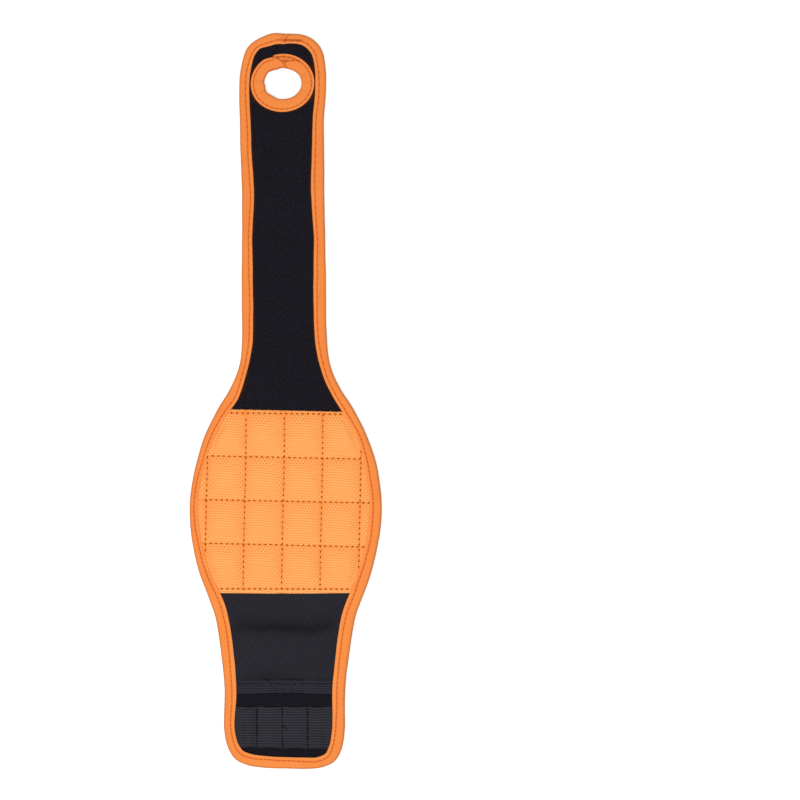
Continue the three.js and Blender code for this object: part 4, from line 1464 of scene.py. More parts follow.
    def shell(self, length: Length) -> Shell:
        """Closed pad of one cut length, with a recess under it for each magnet."""
        rows = length.rows(self.bottom, self.top, self.step)
        x, y = OUTLINE.columns(rows, self.step, self.inset)
        fray = 0.13 * np.cos(TURN * x / 1.15) + 0.08 * wander(x, 4.3, 25)
        tilt = (self.top_edge(x) - self.top) * ease(y, self.top - 6, self.top)
        sag = -0.35 * bell(x, 24) * ease(y, self.bottom + 4, self.bottom)
        y = y + tilt + fray * ease(y, self.top - 0.8, self.top) + sag
        top, pressed_and_painted_light = self.surface(x, y)
        floor = np.where(self.disc_gap(x, y) < self.recess[0], self.recess[1], self.base)
        under = np.minimum(floor, top - 0.25)
        return slab(stacked(x, y, top), stacked(x, y, under), self.drawn(x, y), pressed_and_painted_light=pressed_and_painted_light)


@dataclass(frozen=True)
class Pocket:
    """Slack panel of oxford cloth, sewn in at its top and sides; its mouth is folded into a ribbed
    tape and stands off a little over the closure patch.

    crease holds its place, depth and reach, hem the tape's two edges, patch the closure patch's
    half length, thickness, and where and how far the mouth comes down beside it.
    """

    base: float = 3.7
    cloth: float = 0.8
    thickness: float = 0.7
    slack: float = 1.5
    rise: float = 9.0
    top: float = -93.1
    crease: tuple[float, float, float] = (-109.6, 0.35, 8.0)
    hem: tuple[float, float] = (-141.8, -134.8)
    hem_tape: float = 0.5
    hem_rib: float = 1.3
    hem_seam: float = 1.9
    fold_run: Row = (6.75, 6.9, 7.0, 7.0, 6.95, 6.8)
    fold_drop: Row = (0.06, 0.2, 0.45, 0.8, 1.05, 1.2)
    patch: tuple[float, float, float, float] = (8.2, 0.45, 11.3, 8.0)
    patch_ends: tuple[float, float] = (-140.7, -135.6)
    inset: float = 2.6
    step: float = 0.6
    leg: float = 5.6

    def mouth(self, x: Array) -> Array:
        """Lift of the mouth over the closure patch."""
        _, thick, near, reach = self.patch
        return thick * ease(np.abs(x), near + reach, near)

    def tucked(self, x: Array, y: Array) -> Array:
        """Share by which the layers are squeezed flat where they go under the edge tape."""
        return ease(OUTLINE.side_depth(x, y), self.leg + 1.6, self.leg - 0.2)

    def past_crease(self, x: Array, y: Array) -> Array:
        """Distance from the crease, which strays a little."""
        return y - self.crease[0] - 0.9 * wander(x, 40, 31)

    def outer(self, x: Array, y: Array) -> Array:
        """Height of the panel's outer face: a slack bulge with one soft crease and small ripples
        that run in from the side seams."""
        depth = OUTLINE.side_depth(x, y)
        clear = ease(depth, self.leg + 0.6, self.leg + 12)
        rise = ease(y, self.top, self.top - self.rise)
        fall = ease(y, self.hem[1] + 0.3, self.hem[1] + self.rise)
        _, deep, reach = self.crease
        bent = self.past_crease(x, y)
        crease = deep * (1 - ease(np.abs(bent), 0, reach)) + 0.12 * bell(bent - 7.5, 2.4)
        slack = (self.slack - crease) * rise * fall * clear
        ripple = 0.16 * np.cos(TURN * y / 8.5 + 1.7 * wander(y, 30, 32) + 0.002 * x * x)
        slack = slack + ripple * bell(depth - self.leg - 3.5, 3.2) * rise * fall
        soft = 0.12 * wander(x + 0.5 * y, 33, 33) * rise * fall * clear
        layers = self.base + self.cloth + slack + soft + self.mouth(x) * (1 - fall)
        hemmed = ease(y, self.hem[1] + 0.4, self.hem[1] - 0.2)
        return layers - self.hem_tape * hemmed * self.tucked(x, y)

    def on_hem(self, x: Array, y: Array) -> Array:
        """Height of the hem tape's outer face, without its ribs."""
        return self.outer(x, np.maximum(y, self.hem[0] + 1.0)) + self.hem_tape

    def lower_edge(self, x: Array) -> Array:
        """Lower edge of the hem, drawn up a little in the middle."""
        return self.hem[0] + 0.75 * bell(x, 15) + 0.12 * wander(x, 21, 34)

    def panel(self, length: Length) -> Shell:
        """Closed sheet of one cut length of the panel."""
        rows = length.rows(self.hem[0] + 1.0, self.top, self.step)
        x, y = OUTLINE.columns(rows, self.step, self.inset)
        top = self.outer(x, y)
        bent = self.past_crease(x, y)
        # Painted shade: the crease and a soft fold near the hem's left end, and a painted shadow
        # over the panel along the hem tape's upper edge.
        shade = 0.3 * bell(bent - 2, 5) + (0.2 + 0.4 * bell(x, 18)) * bell(bent + 0.4, 2.5)
        shade = shade + 0.35 * bell(y + 133, 2.2) * bell(x + 8, 10)
        shade = shade + 0.9 * ease(y, self.hem[1] + 0.75, self.hem[1] + 0.1)
        pressed_and_painted_light = 0.75 * np.clip(shade, 0, 1) * ease(OUTLINE.side_depth(x, y), 4, 12)
        under = stacked(x, y, top - self.thickness)
        return slab(stacked(x, y, top), under, stacked(x, y), pressed_and_painted_light=pressed_and_painted_light)

    def hem_shell(self) -> Shell:
        """Ribbed tape folded over the mouth: a leg on the panel, a round fold and a short return,
        with ribs and a row of stitches near its upper edge."""
        leg = spread(0, 6.6, 0.16)
        along = np.concatenate([leg, self.fold_run])
        drop = np.concatenate([np.zeros(len(leg)), self.fold_drop])
        reach = OUTLINE.half_width_at(self.hem[0] + 3, self.leg - 0.9)
        x = np.linspace(-reach, reach, 161)[:, None]
        low = self.lower_edge(x)
        span = self.hem[1] + 0.15 * wander(x, 26, 35) - low
        y = low + span * (1 - along[None] / 7.0)
        ribs_up = 0.08 * np.cos(TURN * (along - 0.75) / self.hem_rib) * np.clip(1 - drop, 0, 1)
        lip = -0.22 * (1 - ease(along, 0, 0.5))
        seam = -0.1 * bell(along - self.hem_seam, 0.35)
        on = self.on_hem(x, y)
        top = on + ribs_up + lip + seam - drop
        inner_z = np.minimum(on - self.hem_tape * 0.9, top + 0.3) - 0.12
        return slab(
            stacked(x, y, top),
            stacked(x, np.maximum(y, low + 0.45), np.where(drop > 0.5, top, inner_z)),
            stacked(x, -along[None]),
            # Painted shade in the groove of the stitch row.
            pressed_and_painted_light=0.3 * bell(along - self.hem_seam, 0.3)[None] + 0 * x,
        )

    def patch_shell(self) -> Shell:
        """Small hook patch inside the mouth, under the box of stitches."""
        half, thick, _, _ = self.patch
        low, high = self.patch_ends
        x, y = np.meshgrid(np.linspace(-half, half, 34), np.linspace(low, high, 12))
        ends = ease(np.minimum(y - low, high - y), -0.2, 0.5)
        top = self.base + thick * (0.75 + 0.2 * ease(half - np.abs(x), -0.2, 0.5) * ends)
        return slab(stacked(x, y, top), stacked(x, y, self.base), stacked(x, y))


@dataclass(frozen=True)
class Elastic:
    """Ribbed elastic stitched down between four arches that hold screwdriver bits."""

    base: float = 3.7
    thickness: float = 0.75
    low: float = -168.0
    high: float = -148.0
    arch: float = 1.5
    scallop: float = 0.5
    seams: Row = (-13.2, -1.0, 11.3)
    leg: float = 5.9
    inset: float = 2.0
    rib: float = 1.3
    stretch: float = 1.1

    def arch_share(self, x: Array) -> Array:
        """Height of the arches as a share: a squared sine between each two seams, of which the
        outer two are at the binding."""
        reach = float(OUTLINE.half_width_at(self.low, self.leg))
        seams = np.array([-reach, *self.seams, reach])
        loop = np.clip(np.searchsorted(seams, x) - 1, 0, len(seams) - 2)
        share = (x - seams[loop]) / (seams[loop + 1] - seams[loop])
        return np.where((share >= 0) & (share <= 1), np.sin(math.pi * share) ** 2, 0)

    def top(self, x: Array, along: Array) -> Array:
        """Height of the elastic without its ribs; along runs from 0 at its lower edge to 1."""
        slack = 1 + 0.12 * np.cos(math.pi * along)
        return self.base + self.thickness + self.arch * self.arch_share(x) * slack

    def shell(self) -> Shell:
        """The elastic as one closed sheet."""
        along = np.linspace(0, 1, 121)[:, None]
        reach = OUTLINE.half_width_at(self.low, self.inset)
        x = np.linspace(-reach, reach, 2 * round(reach / 0.32) + 1)[None]
        low = self.low + self.scallop * self.arch_share(x) + 0.1 * wander(x, 7, 41)
        high = self.high - 0.2 * self.arch_share(x)
        y = low + (high - low) * along
        width = self.high - self.low
        place = along * width
        rib = 0.08 * np.cos(TURN * place / self.rib + 0.25 * wander(x, 6, 42))
        seam = bell(np.abs(x[..., None] - np.array(self.seams)).min(-1), 0.34)
        edge = 0.2 * (1 - ease(np.minimum(place, width - place), 0, 0.5))
        tucked = ease(OUTLINE.side_depth(x + 0 * y, y), self.leg + 0.4, self.leg - 0.6)
        top = self.top(x, along) + rib * (1 - tucked) * (1 - 0.5 * seam) - 0.16 * seam - edge
        top = np.minimum(top, 4.5 + 4 * (1 - tucked))
        under = stacked(x, y, top - self.thickness * 0.85)
        # Painted shade in the grooves along the loop seams.
        return slab(stacked(x, y, top), under, stacked(x, place), pressed_and_painted_light=0.65 * seam + 0 * y)


@dataclass(frozen=True)
class HookStrip:
    """Hook tape sewn to the back of the flap: a web with two plain selvedges and rows of hooks."""

    middle: float = 0.3
    width: float = 30.0
    low: float = -170.6
    high: float = -122.6
    web: tuple[float, float] = (0.88, 0.42)
    selvedges: tuple[float, float] = (2.7, 1.9)
    rows: float = 1.45
    stagger: float = 1.3
    hook: tuple[float, float, float] = (0.8, 0.3, 0.3)

    def sides(self) -> tuple[float, float]:
        """Left and right edge of the strip, seen from the front."""
        return self.middle - self.width / 2, self.middle + self.width / 2

    def field(self) -> tuple[float, float]:
        """Left and right end of the hooked part, seen from the front."""
        left, right = self.sides()
        return left + self.selvedges[0], right - self.selvedges[1]

    def web_shell(self) -> Shell:
        """The web as a closed sheet; the selvedges stand a little lower than the hooked part."""
        xs = self.middle + np.linspace(-0.5, 0.5, 121) * self.width
        x, y = np.meshgrid(xs, spread(self.low, self.high, 0.5))
        left, right = self.field()
        inner = ease(np.minimum(x - left, right - x), -0.15, 0.25)
        rim = ease(np.minimum(self.width / 2 - np.abs(x - self.middle), 9), 0, 0.4)
        ends = ease(np.minimum(y - self.low, self.high - y), 0, 0.35)
        face = self.web[1] + 0.12 * inner + 0.3 * (1 - rim * ends)
        made = slab(stacked(x, y, self.web[0]), stacked(x, y, face), stacked(x, y))
        middle = made.points[made.faces, 0].mean(1)
        made.finish = np.where((middle > left) & (middle < right), 1, 0)
        return made

    def hooks(self) -> Shell:
        """The hooks as rods, rows leaning to either side by turns."""
        left, right = self.field()
        xs = spread(left + 0.7, right - 0.7, self.rows)
        ys = spread(self.low + 0.9, self.high - 0.9, self.stagger)
        x, y = np.meshgrid(xs, ys)
        odd = np.arange(len(xs)) % 2
        y = y + odd * 0.5
        lean = np.where(odd, 1.0, -1.0)
        jitter = np.random.default_rng(SEED).uniform(-0.12, 0.12, (3, *x.shape))
        points = stacked(x + jitter[0], y + jitter[1], 0.32).reshape(-1, 3)
        along = stacked(0.25 * lean + jitter[2], 0.9 * lean, -0.55).reshape(-1, 3)
        return rods(points, unit(along), self.hook, 2)


# ---------------------------------------------------------------- sewing


def rods(centres: Array, along: Array, size: Row, finish: int) -> Shell:
    """Rounded rods, one for each centre, as one shell.

    Args:
        centres: (n, 3) middles.
        along: (n, 3) unit directions.
        size: Length, width and height.
        finish: Which of the piece's finishes they wear.

    Returns:
        A shell that holds n closed rods of 36 faces each.
    """
    station = np.array([-1, -0.82, -0.45, 0, 0.45, 0.82, 1])
    radius = np.sqrt(1 - np.abs(station) ** 3)
    turn = np.linspace(0, TURN, 7)
    side = unit(np.cross(along, (0, 0, 1.0)))
    up = np.cross(side, along)
    length, width, height = size
    flat = side[:, None, None] * np.cos(turn)[:, None] * width / 2
    tall = up[:, None, None] * np.sin(turn)[:, None] * height / 2
    middle = centres[:, None, None] + along[:, None, None] * (station * length / 2)[:, None, None]
    points = middle + (flat + tall) * radius[:, None, None]
    one = grid(points[0], stacked(station[:, None] * length / 2, turn[None] * width / 2), finish)
    count = len(centres)
    faces = one.faces[None] + np.arange(count)[:, None, None] * len(one.points)
    return Shell(
        points.reshape(-1, 3),
        faces.reshape(-1, 4),
        np.tile(one.cloth, (count, 1, 1)),
        np.full(count * len(one.faces), finish),
        np.zeros(count * len(one.points)),
    ).outward()


@dataclass
class Sewing:
    """Every visible stitch, kept with its finish until each cut length gets its own.

    Sizes of stitches are length, width and height. tangles holds the boxes, heights, counts and
    seeds of the tacking at the tapes' joins.
    """

    finishes: tuple[Finish, ...] = (
        Finishes.BINDING_THREAD,
        Finishes.TAPE_NEEDLE_SHADE,
        Finishes.NEEDLE_SHADE,
        Finishes.COVER_THREAD,
        Finishes.BLACK_THREAD,
        Finishes.KNOT_THREAD,
        Finishes.LINT,
    )
    tape_stitch: Row = (1.9, 0.3, 0.26)
    tape_needle_shade: Row = (1.2, 0.42, 0.3)
    tack: Row = (1.4, 0.26, 0.24)
    ring_tack: Row = (1.6, 0.36, 0.3)
    pad_stitch: Row = (1.9, 0.46, 0.4)
    back_stitch: Row = (2.0, 0.3, 0.24)
    hem_stitch: Row = (1.1, 0.5, 0.34)
    loop_stitch: Row = (1.15, 0.75, 0.5)
    strip_stitch: Row = (2.2, 0.4, 0.3)
    tangles: tuple[tuple[Row, float, int, int], ...] = (
        ((-3.9, 173.7, 1.2, 175.2), 4.7, 36, 51),
        ((1.0, 173.9, 8.8, 174.9), 4.6, 26, 55),
        ((-2.0, 173.0, 11.0, 174.9), -0.4, 26, 52),
        ((-0.5, 161.4, 7.4, 165.6), -0.02, 14, 56),
        ((-4.2, 163.9, 5.2, 165.1), 4.86, 20, 57),
    )
    rows: list[tuple[Array, Array, Row, int]] = field(default_factory=list)

    def row(self, points: Array, along: Array, size: Row, finish: Finish) -> None:
        """Adds stitches with their middles, directions, length, width and height, and finish."""
        self.rows.append((points, along, size, self.finishes.index(finish)))

    def line(self, start: Any, end: Any, pitch: float, height: Surface) -> tuple[Array, Array]:
        """Points and directions of stitches on a straight line over a surface, in mm."""
        start, end = np.array(start, float), np.array(end, float)
        count = max(2, round(np.linalg.norm(end - start) / pitch))
        share = (np.arange(count) + 0.5)[:, None] / count
        flat = start + (end - start) * share
        way = unit(end - start)
        ahead, behind = flat + 0.5 * pitch * way, flat - 0.5 * pitch * way
        rise = height(*ahead.T) - height(*behind.T)
        along = np.column_stack([np.tile(way * pitch, (count, 1)), rise])
        return np.column_stack([flat, height(*flat.T)]), unit(along)

    def tangle(self, box: Row, z: float, count: int, seed: int) -> None:
        """Tacking stitches at a join: short threads that lie across each other in a box."""
        rng = np.random.default_rng(SEED + seed)
        x0, y0, x1, y1 = box
        x, y = rng.uniform(x0, x1, count), rng.uniform(y0, y1, count)
        turn = rng.normal(0, 0.3, count)
        points = stacked(x, y, z + rng.uniform(-0.06, 0.1, count))
        self.row(points, stacked(np.cos(turn), np.sin(turn), 0.0), self.tack, Finishes.KNOT_THREAD)

    def shells(self, length: Length) -> list[Shell]:
        """Shells of the stitches whose middles lie in one cut length."""
        made = []
        for points, along, size, finish in self.rows:
            here = length.holds(points[:, 1])
            if here.any():
                made.append(rods(points[here], along[here], size, finish))
        return made


# ---------------------------------------------------------------- the band


@dataclass
class Wristband:
    """The whole band: makes each piece and hides the CAD nodes that it replaces."""

    binding: Binding = field(default_factory=lambda: EDGE)
    ring: ThumbRing = field(default_factory=ThumbRing)
    laminate: Laminate = field(default_factory=Laminate)
    cover: PadCover = field(default_factory=PadCover)
    pocket: Pocket = field(default_factory=Pocket)
    elastic: Elastic = field(default_factory=Elastic)
    hooks: HookStrip = field(default_factory=HookStrip)
    sewing: Sewing = field(default_factory=Sewing)
    padding: float = 0.45

    def piece(
        self,
        name: str,
        length: Length,
        shells: list[Shell],
        finishes: list[Finish],
        slot: str = "",
        nodes: tuple[str, ...] = (),
    ) -> bpy.types.Object:
        """Makes one piece, bakes its transform and hides the CAD nodes that it stands for."""
        made = make_piece(name, shells, finishes)
        length.bend(made)
        if nodes:
            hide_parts(*nodes)
        LOG.info("%s: %d faces", name, len(made.data.polygons))
        return made

    @staticmethod
    def declare(
        piece: bpy.types.Object, size: Row, held: str, rests: list[str], area: float = math.inf
    ) -> None:
        """Works out a piece's flat size in metres and its flat area, from its size in mm and its
        flat area in mm2, and does nothing more with them."""
        flat = tuple(side * MM for side in size)
        area = min(area * MM**2, flat[0] * flat[1])

    def add_laminate(self) -> None:
        """Body sheet of each cut length."""
        worn = [Finishes.PILE, Finishes.LINING, Finishes.FOAM]
        for length in LENGTHS:
            shell = self.laminate.shell(length, self.ring)
            nodes = length.lower + "_base", length.upper + "_base"
            name = "laminate_" + length.name
            made = self.piece(name, length, [shell], worn, "loop_laminate", nodes)
            size = extent(shell.points[:, 0]), extent(shell.points[:, 1])
            self.declare(made, size, "laid", [], shell.area())

    def add_cover(self) -> None:
        """Padded cover of each cut length of the pad."""
        for length in PAD_LENGTHS:
            bodies = [body for body in (length.lower, length.upper) if "pad_row" in body]
            nodes = tuple(body + "_cover" for body in bodies)
            shell, name = self.cover.shell(length), "cover_" + length.name
            made = self.piece(name, length, [shell], [Finishes.COVER], "pad_cover", nodes)

    def add_pocket(self) -> None:
        """Pocket panel in its two cut lengths, hem tape and closure patch."""
        worn = [Finishes.OXFORD]
        for length in POCKET_LENGTHS:
            shell, name = self.pocket.panel(length), "pocket_panel_" + length.name
            made = self.piece(name, length, [shell], worn, "pocket_cloth", ("pocket_panel",))
            size = extent(shell.points[:, 0]), extent(shell.points[:, 1])
            self.declare(made, size, "laid", ["laminate_" + length.name], shell.area())
        shell, worn, nodes = self.pocket.hem_shell(), [Finishes.HEM], ("pocket_hem_tape",)
        made = self.piece("pocket_hem", FLAP_END, [shell], worn, "ribbed_tape", nodes)
        area, wide = shell.area(), extent(shell.points[:, 0])
        size = wide, max(10.0, area / wide)
        self.declare(made, size, "folded", ["pocket_panel_flap_end"], area)
        shell, worn = self.pocket.patch_shell(), [Finishes.HOOK_GROUND]
        nodes = ("pocket_closure_patch",)
        self.piece("closure_patch", FLAP_END, [shell], worn, "hook_tape", nodes)

    def add_elastic(self) -> None:
        """Elastic of the bit loops."""
        shell, worn, nodes = self.elastic.shell(), [Finishes.ELASTIC], ("bit_loop_elastic",)
        made = self.piece("bit_loops", FLAP_END, [shell], worn, "ribbed_tape", nodes)
        wide = extent(shell.points[:, 0]) * self.elastic.stretch
        size = wide, self.elastic.high - self.elastic.low
        self.declare(made, size, "stretched", ["laminate_flap_end"])

    def add_hooks(self) -> None:
        """Hook strip: its web and its hooks in one piece."""
        shells = [self.hooks.web_shell(), self.hooks.hooks()]
        worn = [Finishes.SELVEDGE, Finishes.HOOK_GROUND, Finishes.HOOKS]
        nodes = "flap_pocket_hook_strip", "flap_end_hook_strip"
        made = self.piece("hook_strip", FLAP_END, shells, worn, "hook_tape", nodes)
        size = self.hooks.width, self.hooks.high - self.hooks.low
        self.declare(made, size, "laid", ["laminate_flap_end"])

    def add_tape(
        self, name: str, length: Length, shells: list[Shell], nodes: tuple[str, ...]
    ) -> None:
        """Adds a folded tape, whose flat size is that of its first shell's cloth."""
        made = self.piece(name, length, shells, [Finishes.BINDING], "binding_tape", nodes)
        size = extent(shells[0].cloth[..., 1]), extent(shells[0].cloth[..., 0])
        self.declare(made, size, "folded", ["laminate_" + length.name])

    def add_binding(self) -> None:
        """Edge tape of each cut length, its right and left stretches apart."""
        for length in LENGTHS:
            shells = self.binding.shells(length)
            sides = ("_right", "_left") if len(shells) == 2 else ("",)
            for side, shell in zip(sides, shells):
                nodes = []
                for body in (length.lower, length.upper):
                    whole = body in (RING_END.name, FLAP_END.name)
                    ends = [""] if whole else [side] if side else ["_left", "_right"]
                    nodes += [f"{body}_binding{end}" for end in ends]
                worn = [shell, self.binding.tab()] if length is RING_END else [shell]
                self.add_tape(f"binding_{length.name}{side}", length, worn, tuple(nodes))

    def add_ring(self) -> None:
        """Tape round the thumb hole."""
        nodes = ("thumb_ring_binding",)
        self.add_tape("binding_thumb_ring", RING_END, [self.ring.shell()], nodes)

    def sew_binding(self) -> None:
        """Stitches of both edge tapes on both faces, and the tacking at their joins."""
        sew = self.sewing
        for face in Face:
            for tape in (self.binding, self.ring):
                points, along = tape.stitch_line(face)
                points = points + (0, 0, 0.05 * face.value)
                sew.row(points, along, sew.tape_stitch, Finishes.BINDING_THREAD)
                after = np.roll(points, -1, 0)
                near = np.linalg.norm(after - points, axis=1) < 4
                # Rods of painted shade at the needle holes between the stitches.
                holes = ((points + after) / 2)[near]
                sew.row(holes, along[near], sew.tape_needle_shade, Finishes.TAPE_NEEDLE_SHADE)
        for box, z, count, seed in sew.tangles:
            sew.tangle(box, z, count, seed)
        turn = np.radians(np.linspace(106, 56, 11))
        reach = np.array(self.ring.hole) + self.ring.width - 1.5
        spots = stacked(np.cos(turn), np.sin(turn)) * reach + (0, self.ring.centre_y)
        rng = np.random.default_rng(SEED + 53)
        spots = spots + rng.uniform(-0.35, 0.35, spots.shape)
        lean = -math.pi / 2 + turn + rng.uniform(-0.5, 0.5, len(turn))
        along = stacked(np.cos(lean), np.sin(lean), 0.0)
        sew.row(stacked(*spots.T, 4.75), along, sew.ring_tack, Finishes.KNOT_THREAD)

    def sew_pad(self) -> None:
        """Stitches of the pad's grid: orange thread between needle holes in front, each hole a rod
        of painted shade, a black line behind."""
        sew = self.sewing

        def top(x: Array, y: Array) -> Array:
            """Height of the cover."""
            return self.cover.surface(x, y)[0]

        def back(x: Array, y: Array) -> Array:
            """Height of the lining."""
            return self.laminate.faces(self.ring, x, y)[1]

        pitch, lines = QUILT.pitch, []
        for number, (seam, hole) in enumerate(zip(QUILT.rows, QUILT.row_holes)):
            steps = int(OUTLINE.half_width_at(seam, 3.6) / pitch) + 1
            ends = np.array([-steps, steps]) * pitch + hole
            lines.append((stacked(ends, QUILT.row_seams(ends)[number]), 0.98))
        for number, hole in enumerate(QUILT.column_holes):
            ends = np.array([-16, int((-6.6 - hole) / pitch)]) * pitch + hole
            lines.append((stacked(QUILT.column_seams(ends)[number], ends), 0.74))
        for (start, end), thick in lines:
            points, along = sew.line(start, end, pitch, top)
            inside = EDGE.beyond(*points.T[:2]) > 0.2
            points, along = points[inside], along[inside]
            sew.row(points + (0, 0, 0.06), along, sew.pad_stitch, Finishes.COVER_THREAD)
            # Rods of painted shade at the needle holes.
            holes = points + along * pitch / 2
            holes[:, 2] = top(*holes.T[:2]) + 0.06
            sew.row(holes, along, (1.35, thick, 0.3), Finishes.NEEDLE_SHADE)
            points, along = sew.line(start, end, pitch, back)
            inside = OUTLINE.side_depth(*points.T[:2]) > 5.6
            below = points[inside] - (0, 0, 0.04)
            sew.row(below, along[inside], sew.back_stitch, Finishes.BLACK_THREAD)

    def sew_flap(self) -> None:
        """Black stitches of the hem, its box, the loop seams and the hook strip, a curl of loose
        thread beside the box, some lint and a knot between the loops."""
        sew, elastic, strip = self.sewing, self.elastic, self.hooks
        black = Finishes.BLACK_THREAD

        def on_hem(x: Array, y: Array) -> Array:
            """Height just over the hem tape."""
            return self.pocket.on_hem(x, y) + 0.06

        def on_loop(x: Array, y: Array) -> Array:
            """Height of the elastic."""
            return elastic.top(x, (y - elastic.low) / (elastic.high - elastic.low))

        reach = float(OUTLINE.half_width_at(-137, 6.2))
        left, low, right, high = -7.3, -139.9, 9.2, -134.95
        lines = (
            ((-reach, -136.8), (reach, -136.8), 0, 0.92),
            ((left, low), (right, low), 0, 0.8),
            ((left + 3, high), (right, high), 0.45, 0.45),
        )
        rng = np.random.default_rng(SEED + 54)
        for start, end, bow, share in lines:
            points, along = sew.line(start, end, 1.9, on_hem)
            points[:, :2] += rng.normal(0, 0.12, (len(points), 2))
            points[:, 1] += bow * bell(points[:, 0] - 1, 7)
            points[:, 2] = on_hem(*points.T[:2]) - 0.06
            kept = rng.random(len(points)) < share
            sew.row(points[kept], along[kept], sew.hem_stitch, black)
        spots = np.array([(-9.0, -134.75), (-8.1, -135.3), (-7.4, -136.0), (-6.9, -136.8)])
        curl = stacked(*spots.T, on_hem(*spots.T) + 0.05)
        along = unit(np.diff(curl, axis=0, append=curl[-1:] + (0.3, -0.9, 0)))
        sew.row(curl, along, (1.2, 0.5, 0.4), black)
        spots = np.array([(-8.0, -136.2), (-7.6, -136.9), (-2.8, -134.9), (5.3, -134.9)])
        lint = stacked(*spots.T, on_hem(*spots.T) + 0.1)
        sew.row(lint, np.tile((0.8, 0.6, 0), (4, 1)), (0.7, 0.35, 0.3), Finishes.LINT)
        for seam in elastic.seams:
            ends = (seam, elastic.low + 0.7), (seam, elastic.high - 0.5)
            points, along = sew.line(*ends, 1.6, on_loop)
            points = points - (0, 0, 0.08) + rng.normal(0, 0.22, points.shape) * (1, 1, 0)
            along = along + rng.normal(0, 0.3, along.shape) * (1, 0, 0)
            kept = rng.random(len(points)) < 0.8
            sew.row(points[kept], along[kept], sew.loop_stitch, black)
        spots = np.array([(-0.2, -157.4), (0.6, -157.9), (1.3, -158.4)])
        knot = stacked(*spots.T, elastic.top(spots[:, 0], 0.5))
        sew.row(knot, np.tile((0.8, -0.6, 0), (3, 1)), (1.1, 0.6, 0.5), black)
        left, right = strip.sides()
        left, right, low, high = left + 1.0, right - 1.0, strip.low + 0.9, strip.high - 0.9
        corners = [(left, low), (right, low), (right, high), (left, high), (left, low)]
        for start, end in zip(corners, corners[1:]):
            points, along = sew.line(start, end, 3.0, lambda x, y: 0 * x + strip.web[1] - 0.02)
            sew.row(points, along, sew.strip_stitch, black)

    def add_sewing(self) -> None:
        """All stitches, one piece for each cut length."""
        self.sew_binding()
        self.sew_pad()
        self.sew_flap()
        worn = list(self.sewing.finishes)
        for length in LENGTHS:
            self.piece("stitching_" + length.name, length, self.sewing.shells(length), worn)

    def finish_magnets(self) -> None:
        """The magnets keep their CAD solids and get their plating."""
        metal = Finishes.NICKEL.material()
        for name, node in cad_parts.items():
            if "_magnet_" in name:
                node.data.materials.clear()
                node.data.materials.append(metal)

    def build(self) -> None:
        """Makes every piece in the order in which the band is sewn."""
        self.add_laminate()
        self.add_cover()
        self.add_pocket()
        self.add_elastic()
        self.add_hooks()
        self.add_binding()
        self.add_ring()
        self.add_sewing()
        self.finish_magnets()


# ---------------------------------------------------------------- studio


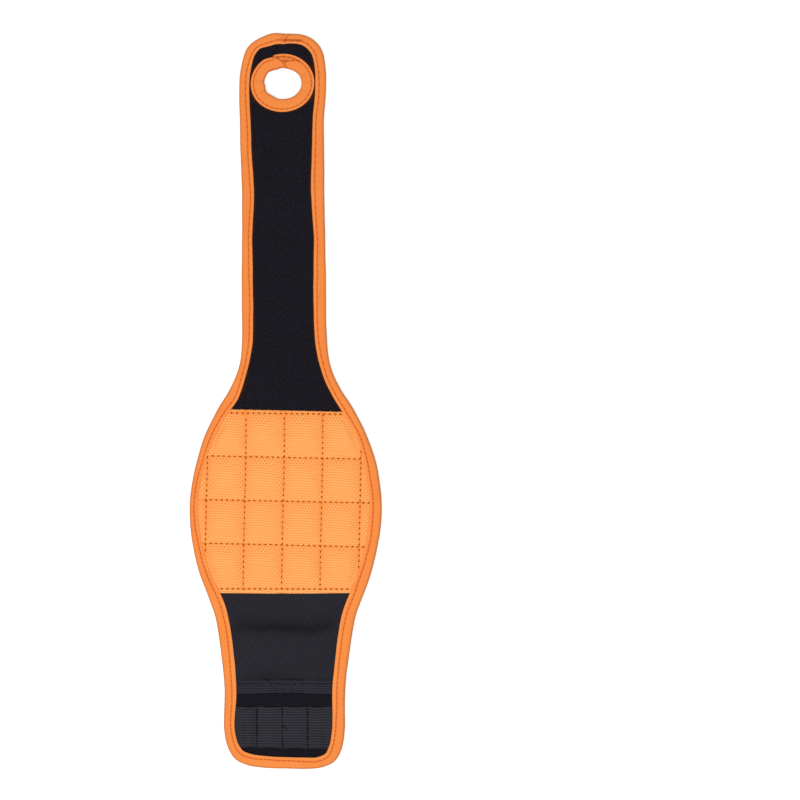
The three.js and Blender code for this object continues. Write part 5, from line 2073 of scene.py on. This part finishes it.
@dataclass(frozen=True)
class Studio:
    """White table under a large soft light, seen from straight above at the photograph's place.

    camera is in millimetres, key in metres.
    """

    camera: tuple[float, float, float] = (55.6, 0.5, 1295.0)
    lens: float = 120.0
    sensor: float = 36.0
    floor_size: float = 4.0
    floor_drop: float = 0.0003
    floor_glow: float = 0.45
    key: tuple[float, float, float] = (-0.07, -0.1, 0.85)
    key_power: float = 5.95
    key_size: float = 0.7
    world_strength: float = 0.47

    def add_camera(self) -> None:
        """Camera straight down; it is moved off the band's middle, not turned."""
        data = bpy.data.cameras.new("camera")
        data.lens, data.sensor_width = self.lens, self.sensor
        data.clip_start, data.clip_end = 0.01, 20
        made = linked("camera", data)
        made.location = tuple(part * MM for part in self.camera)
        bpy.context.scene.camera = made

    def add_light(self) -> None:
        """One large soft light from the flap's side, turned to the middle of the band."""
        data = bpy.data.lights.new("key", "AREA")
        data.energy, data.size = self.key_power, self.key_size
        made = linked("key", data)
        made.location = self.key
        made.rotation_euler = (-Vector(self.key)).to_track_quat("-Z", "Y").to_euler()

    def add_world(self) -> None:
        """Even light from all sides, white where a camera or transmission ray meets it."""
        world = bpy.data.worlds.new("studio")
        bpy.context.scene.world = world
        tree = emptied(world)
        path = add(tree, "LightPath").outputs
        links = {0: path["Is Camera Ray"], 1: path["Is Transmission Ray"]}
        seen = add(tree, "Math", links, operation="MAXIMUM")
        white = (1, 1, 1, 1)
        soft = add(tree, "Background", {"Color": white, "Strength": self.world_strength})
        bright = add(tree, "Background", {"Color": white, "Strength": 1.0})
        both = add(tree, "MixShader", {0: seen, 1: soft, 2: bright})
        add(tree, "OutputWorld", {"Surface": both})

    def add_floor(self) -> None:
        """Plain white floor that takes the band's shadow and looks white where none falls."""
        mesh = bpy.data.meshes.new("floor")
        half, z = self.floor_size / 2, -self.floor_drop
        corners = [(-half, -half, z), (half, -half, z), (half, half, z), (-half, half, z)]
        mesh.from_pydata(corners, [], [(0, 1, 2, 3)])
        made = bpy.data.materials.new("white_table")
        tree = emptied(made)
        place = add(tree, "TexCoord").outputs["Object"]
        grain = add(tree, "TexNoise", {"Vector": place, "Scale": 30.0})
        links = {0: grain, 6: linear("#e4e4e4"), 7: linear("#e8e8e8")}
        tone = add(tree, "Mix", links, data_type="RGBA", clamp_factor=True).outputs[2]
        diffuse = add(tree, "BsdfDiffuse", {"Color": tone})
        dim = add(tree, "BsdfDiffuse", {"Color": linear("#a0a0a0")})
        glow = add(tree, "Emission", {"Color": (1, 1, 1, 1), "Strength": self.floor_glow})
        both = add(tree, "AddShader", {0: diffuse, 1: glow})
        seen = add(tree, "MixShader", {0: add(tree, "LightPath"), 1: dim, 2: both})
        add(tree, "OutputMaterial", {"Surface": seen})
        mesh.materials.append(made)
        linked("floor", mesh)

    def build(self) -> None:
        """Sets the studio up."""
        self.add_camera()
        self.add_light()
        self.add_world()
        self.add_floor()
        bpy.context.scene.view_settings.view_transform = "Standard"


def main() -> None:
    """Builds the band, then the studio, and hands the scene over."""
    logging.basicConfig(level=logging.INFO, format="%(message)s")
    Wristband().build()
    Studio().build()


if __name__ == "__main__":
    main()
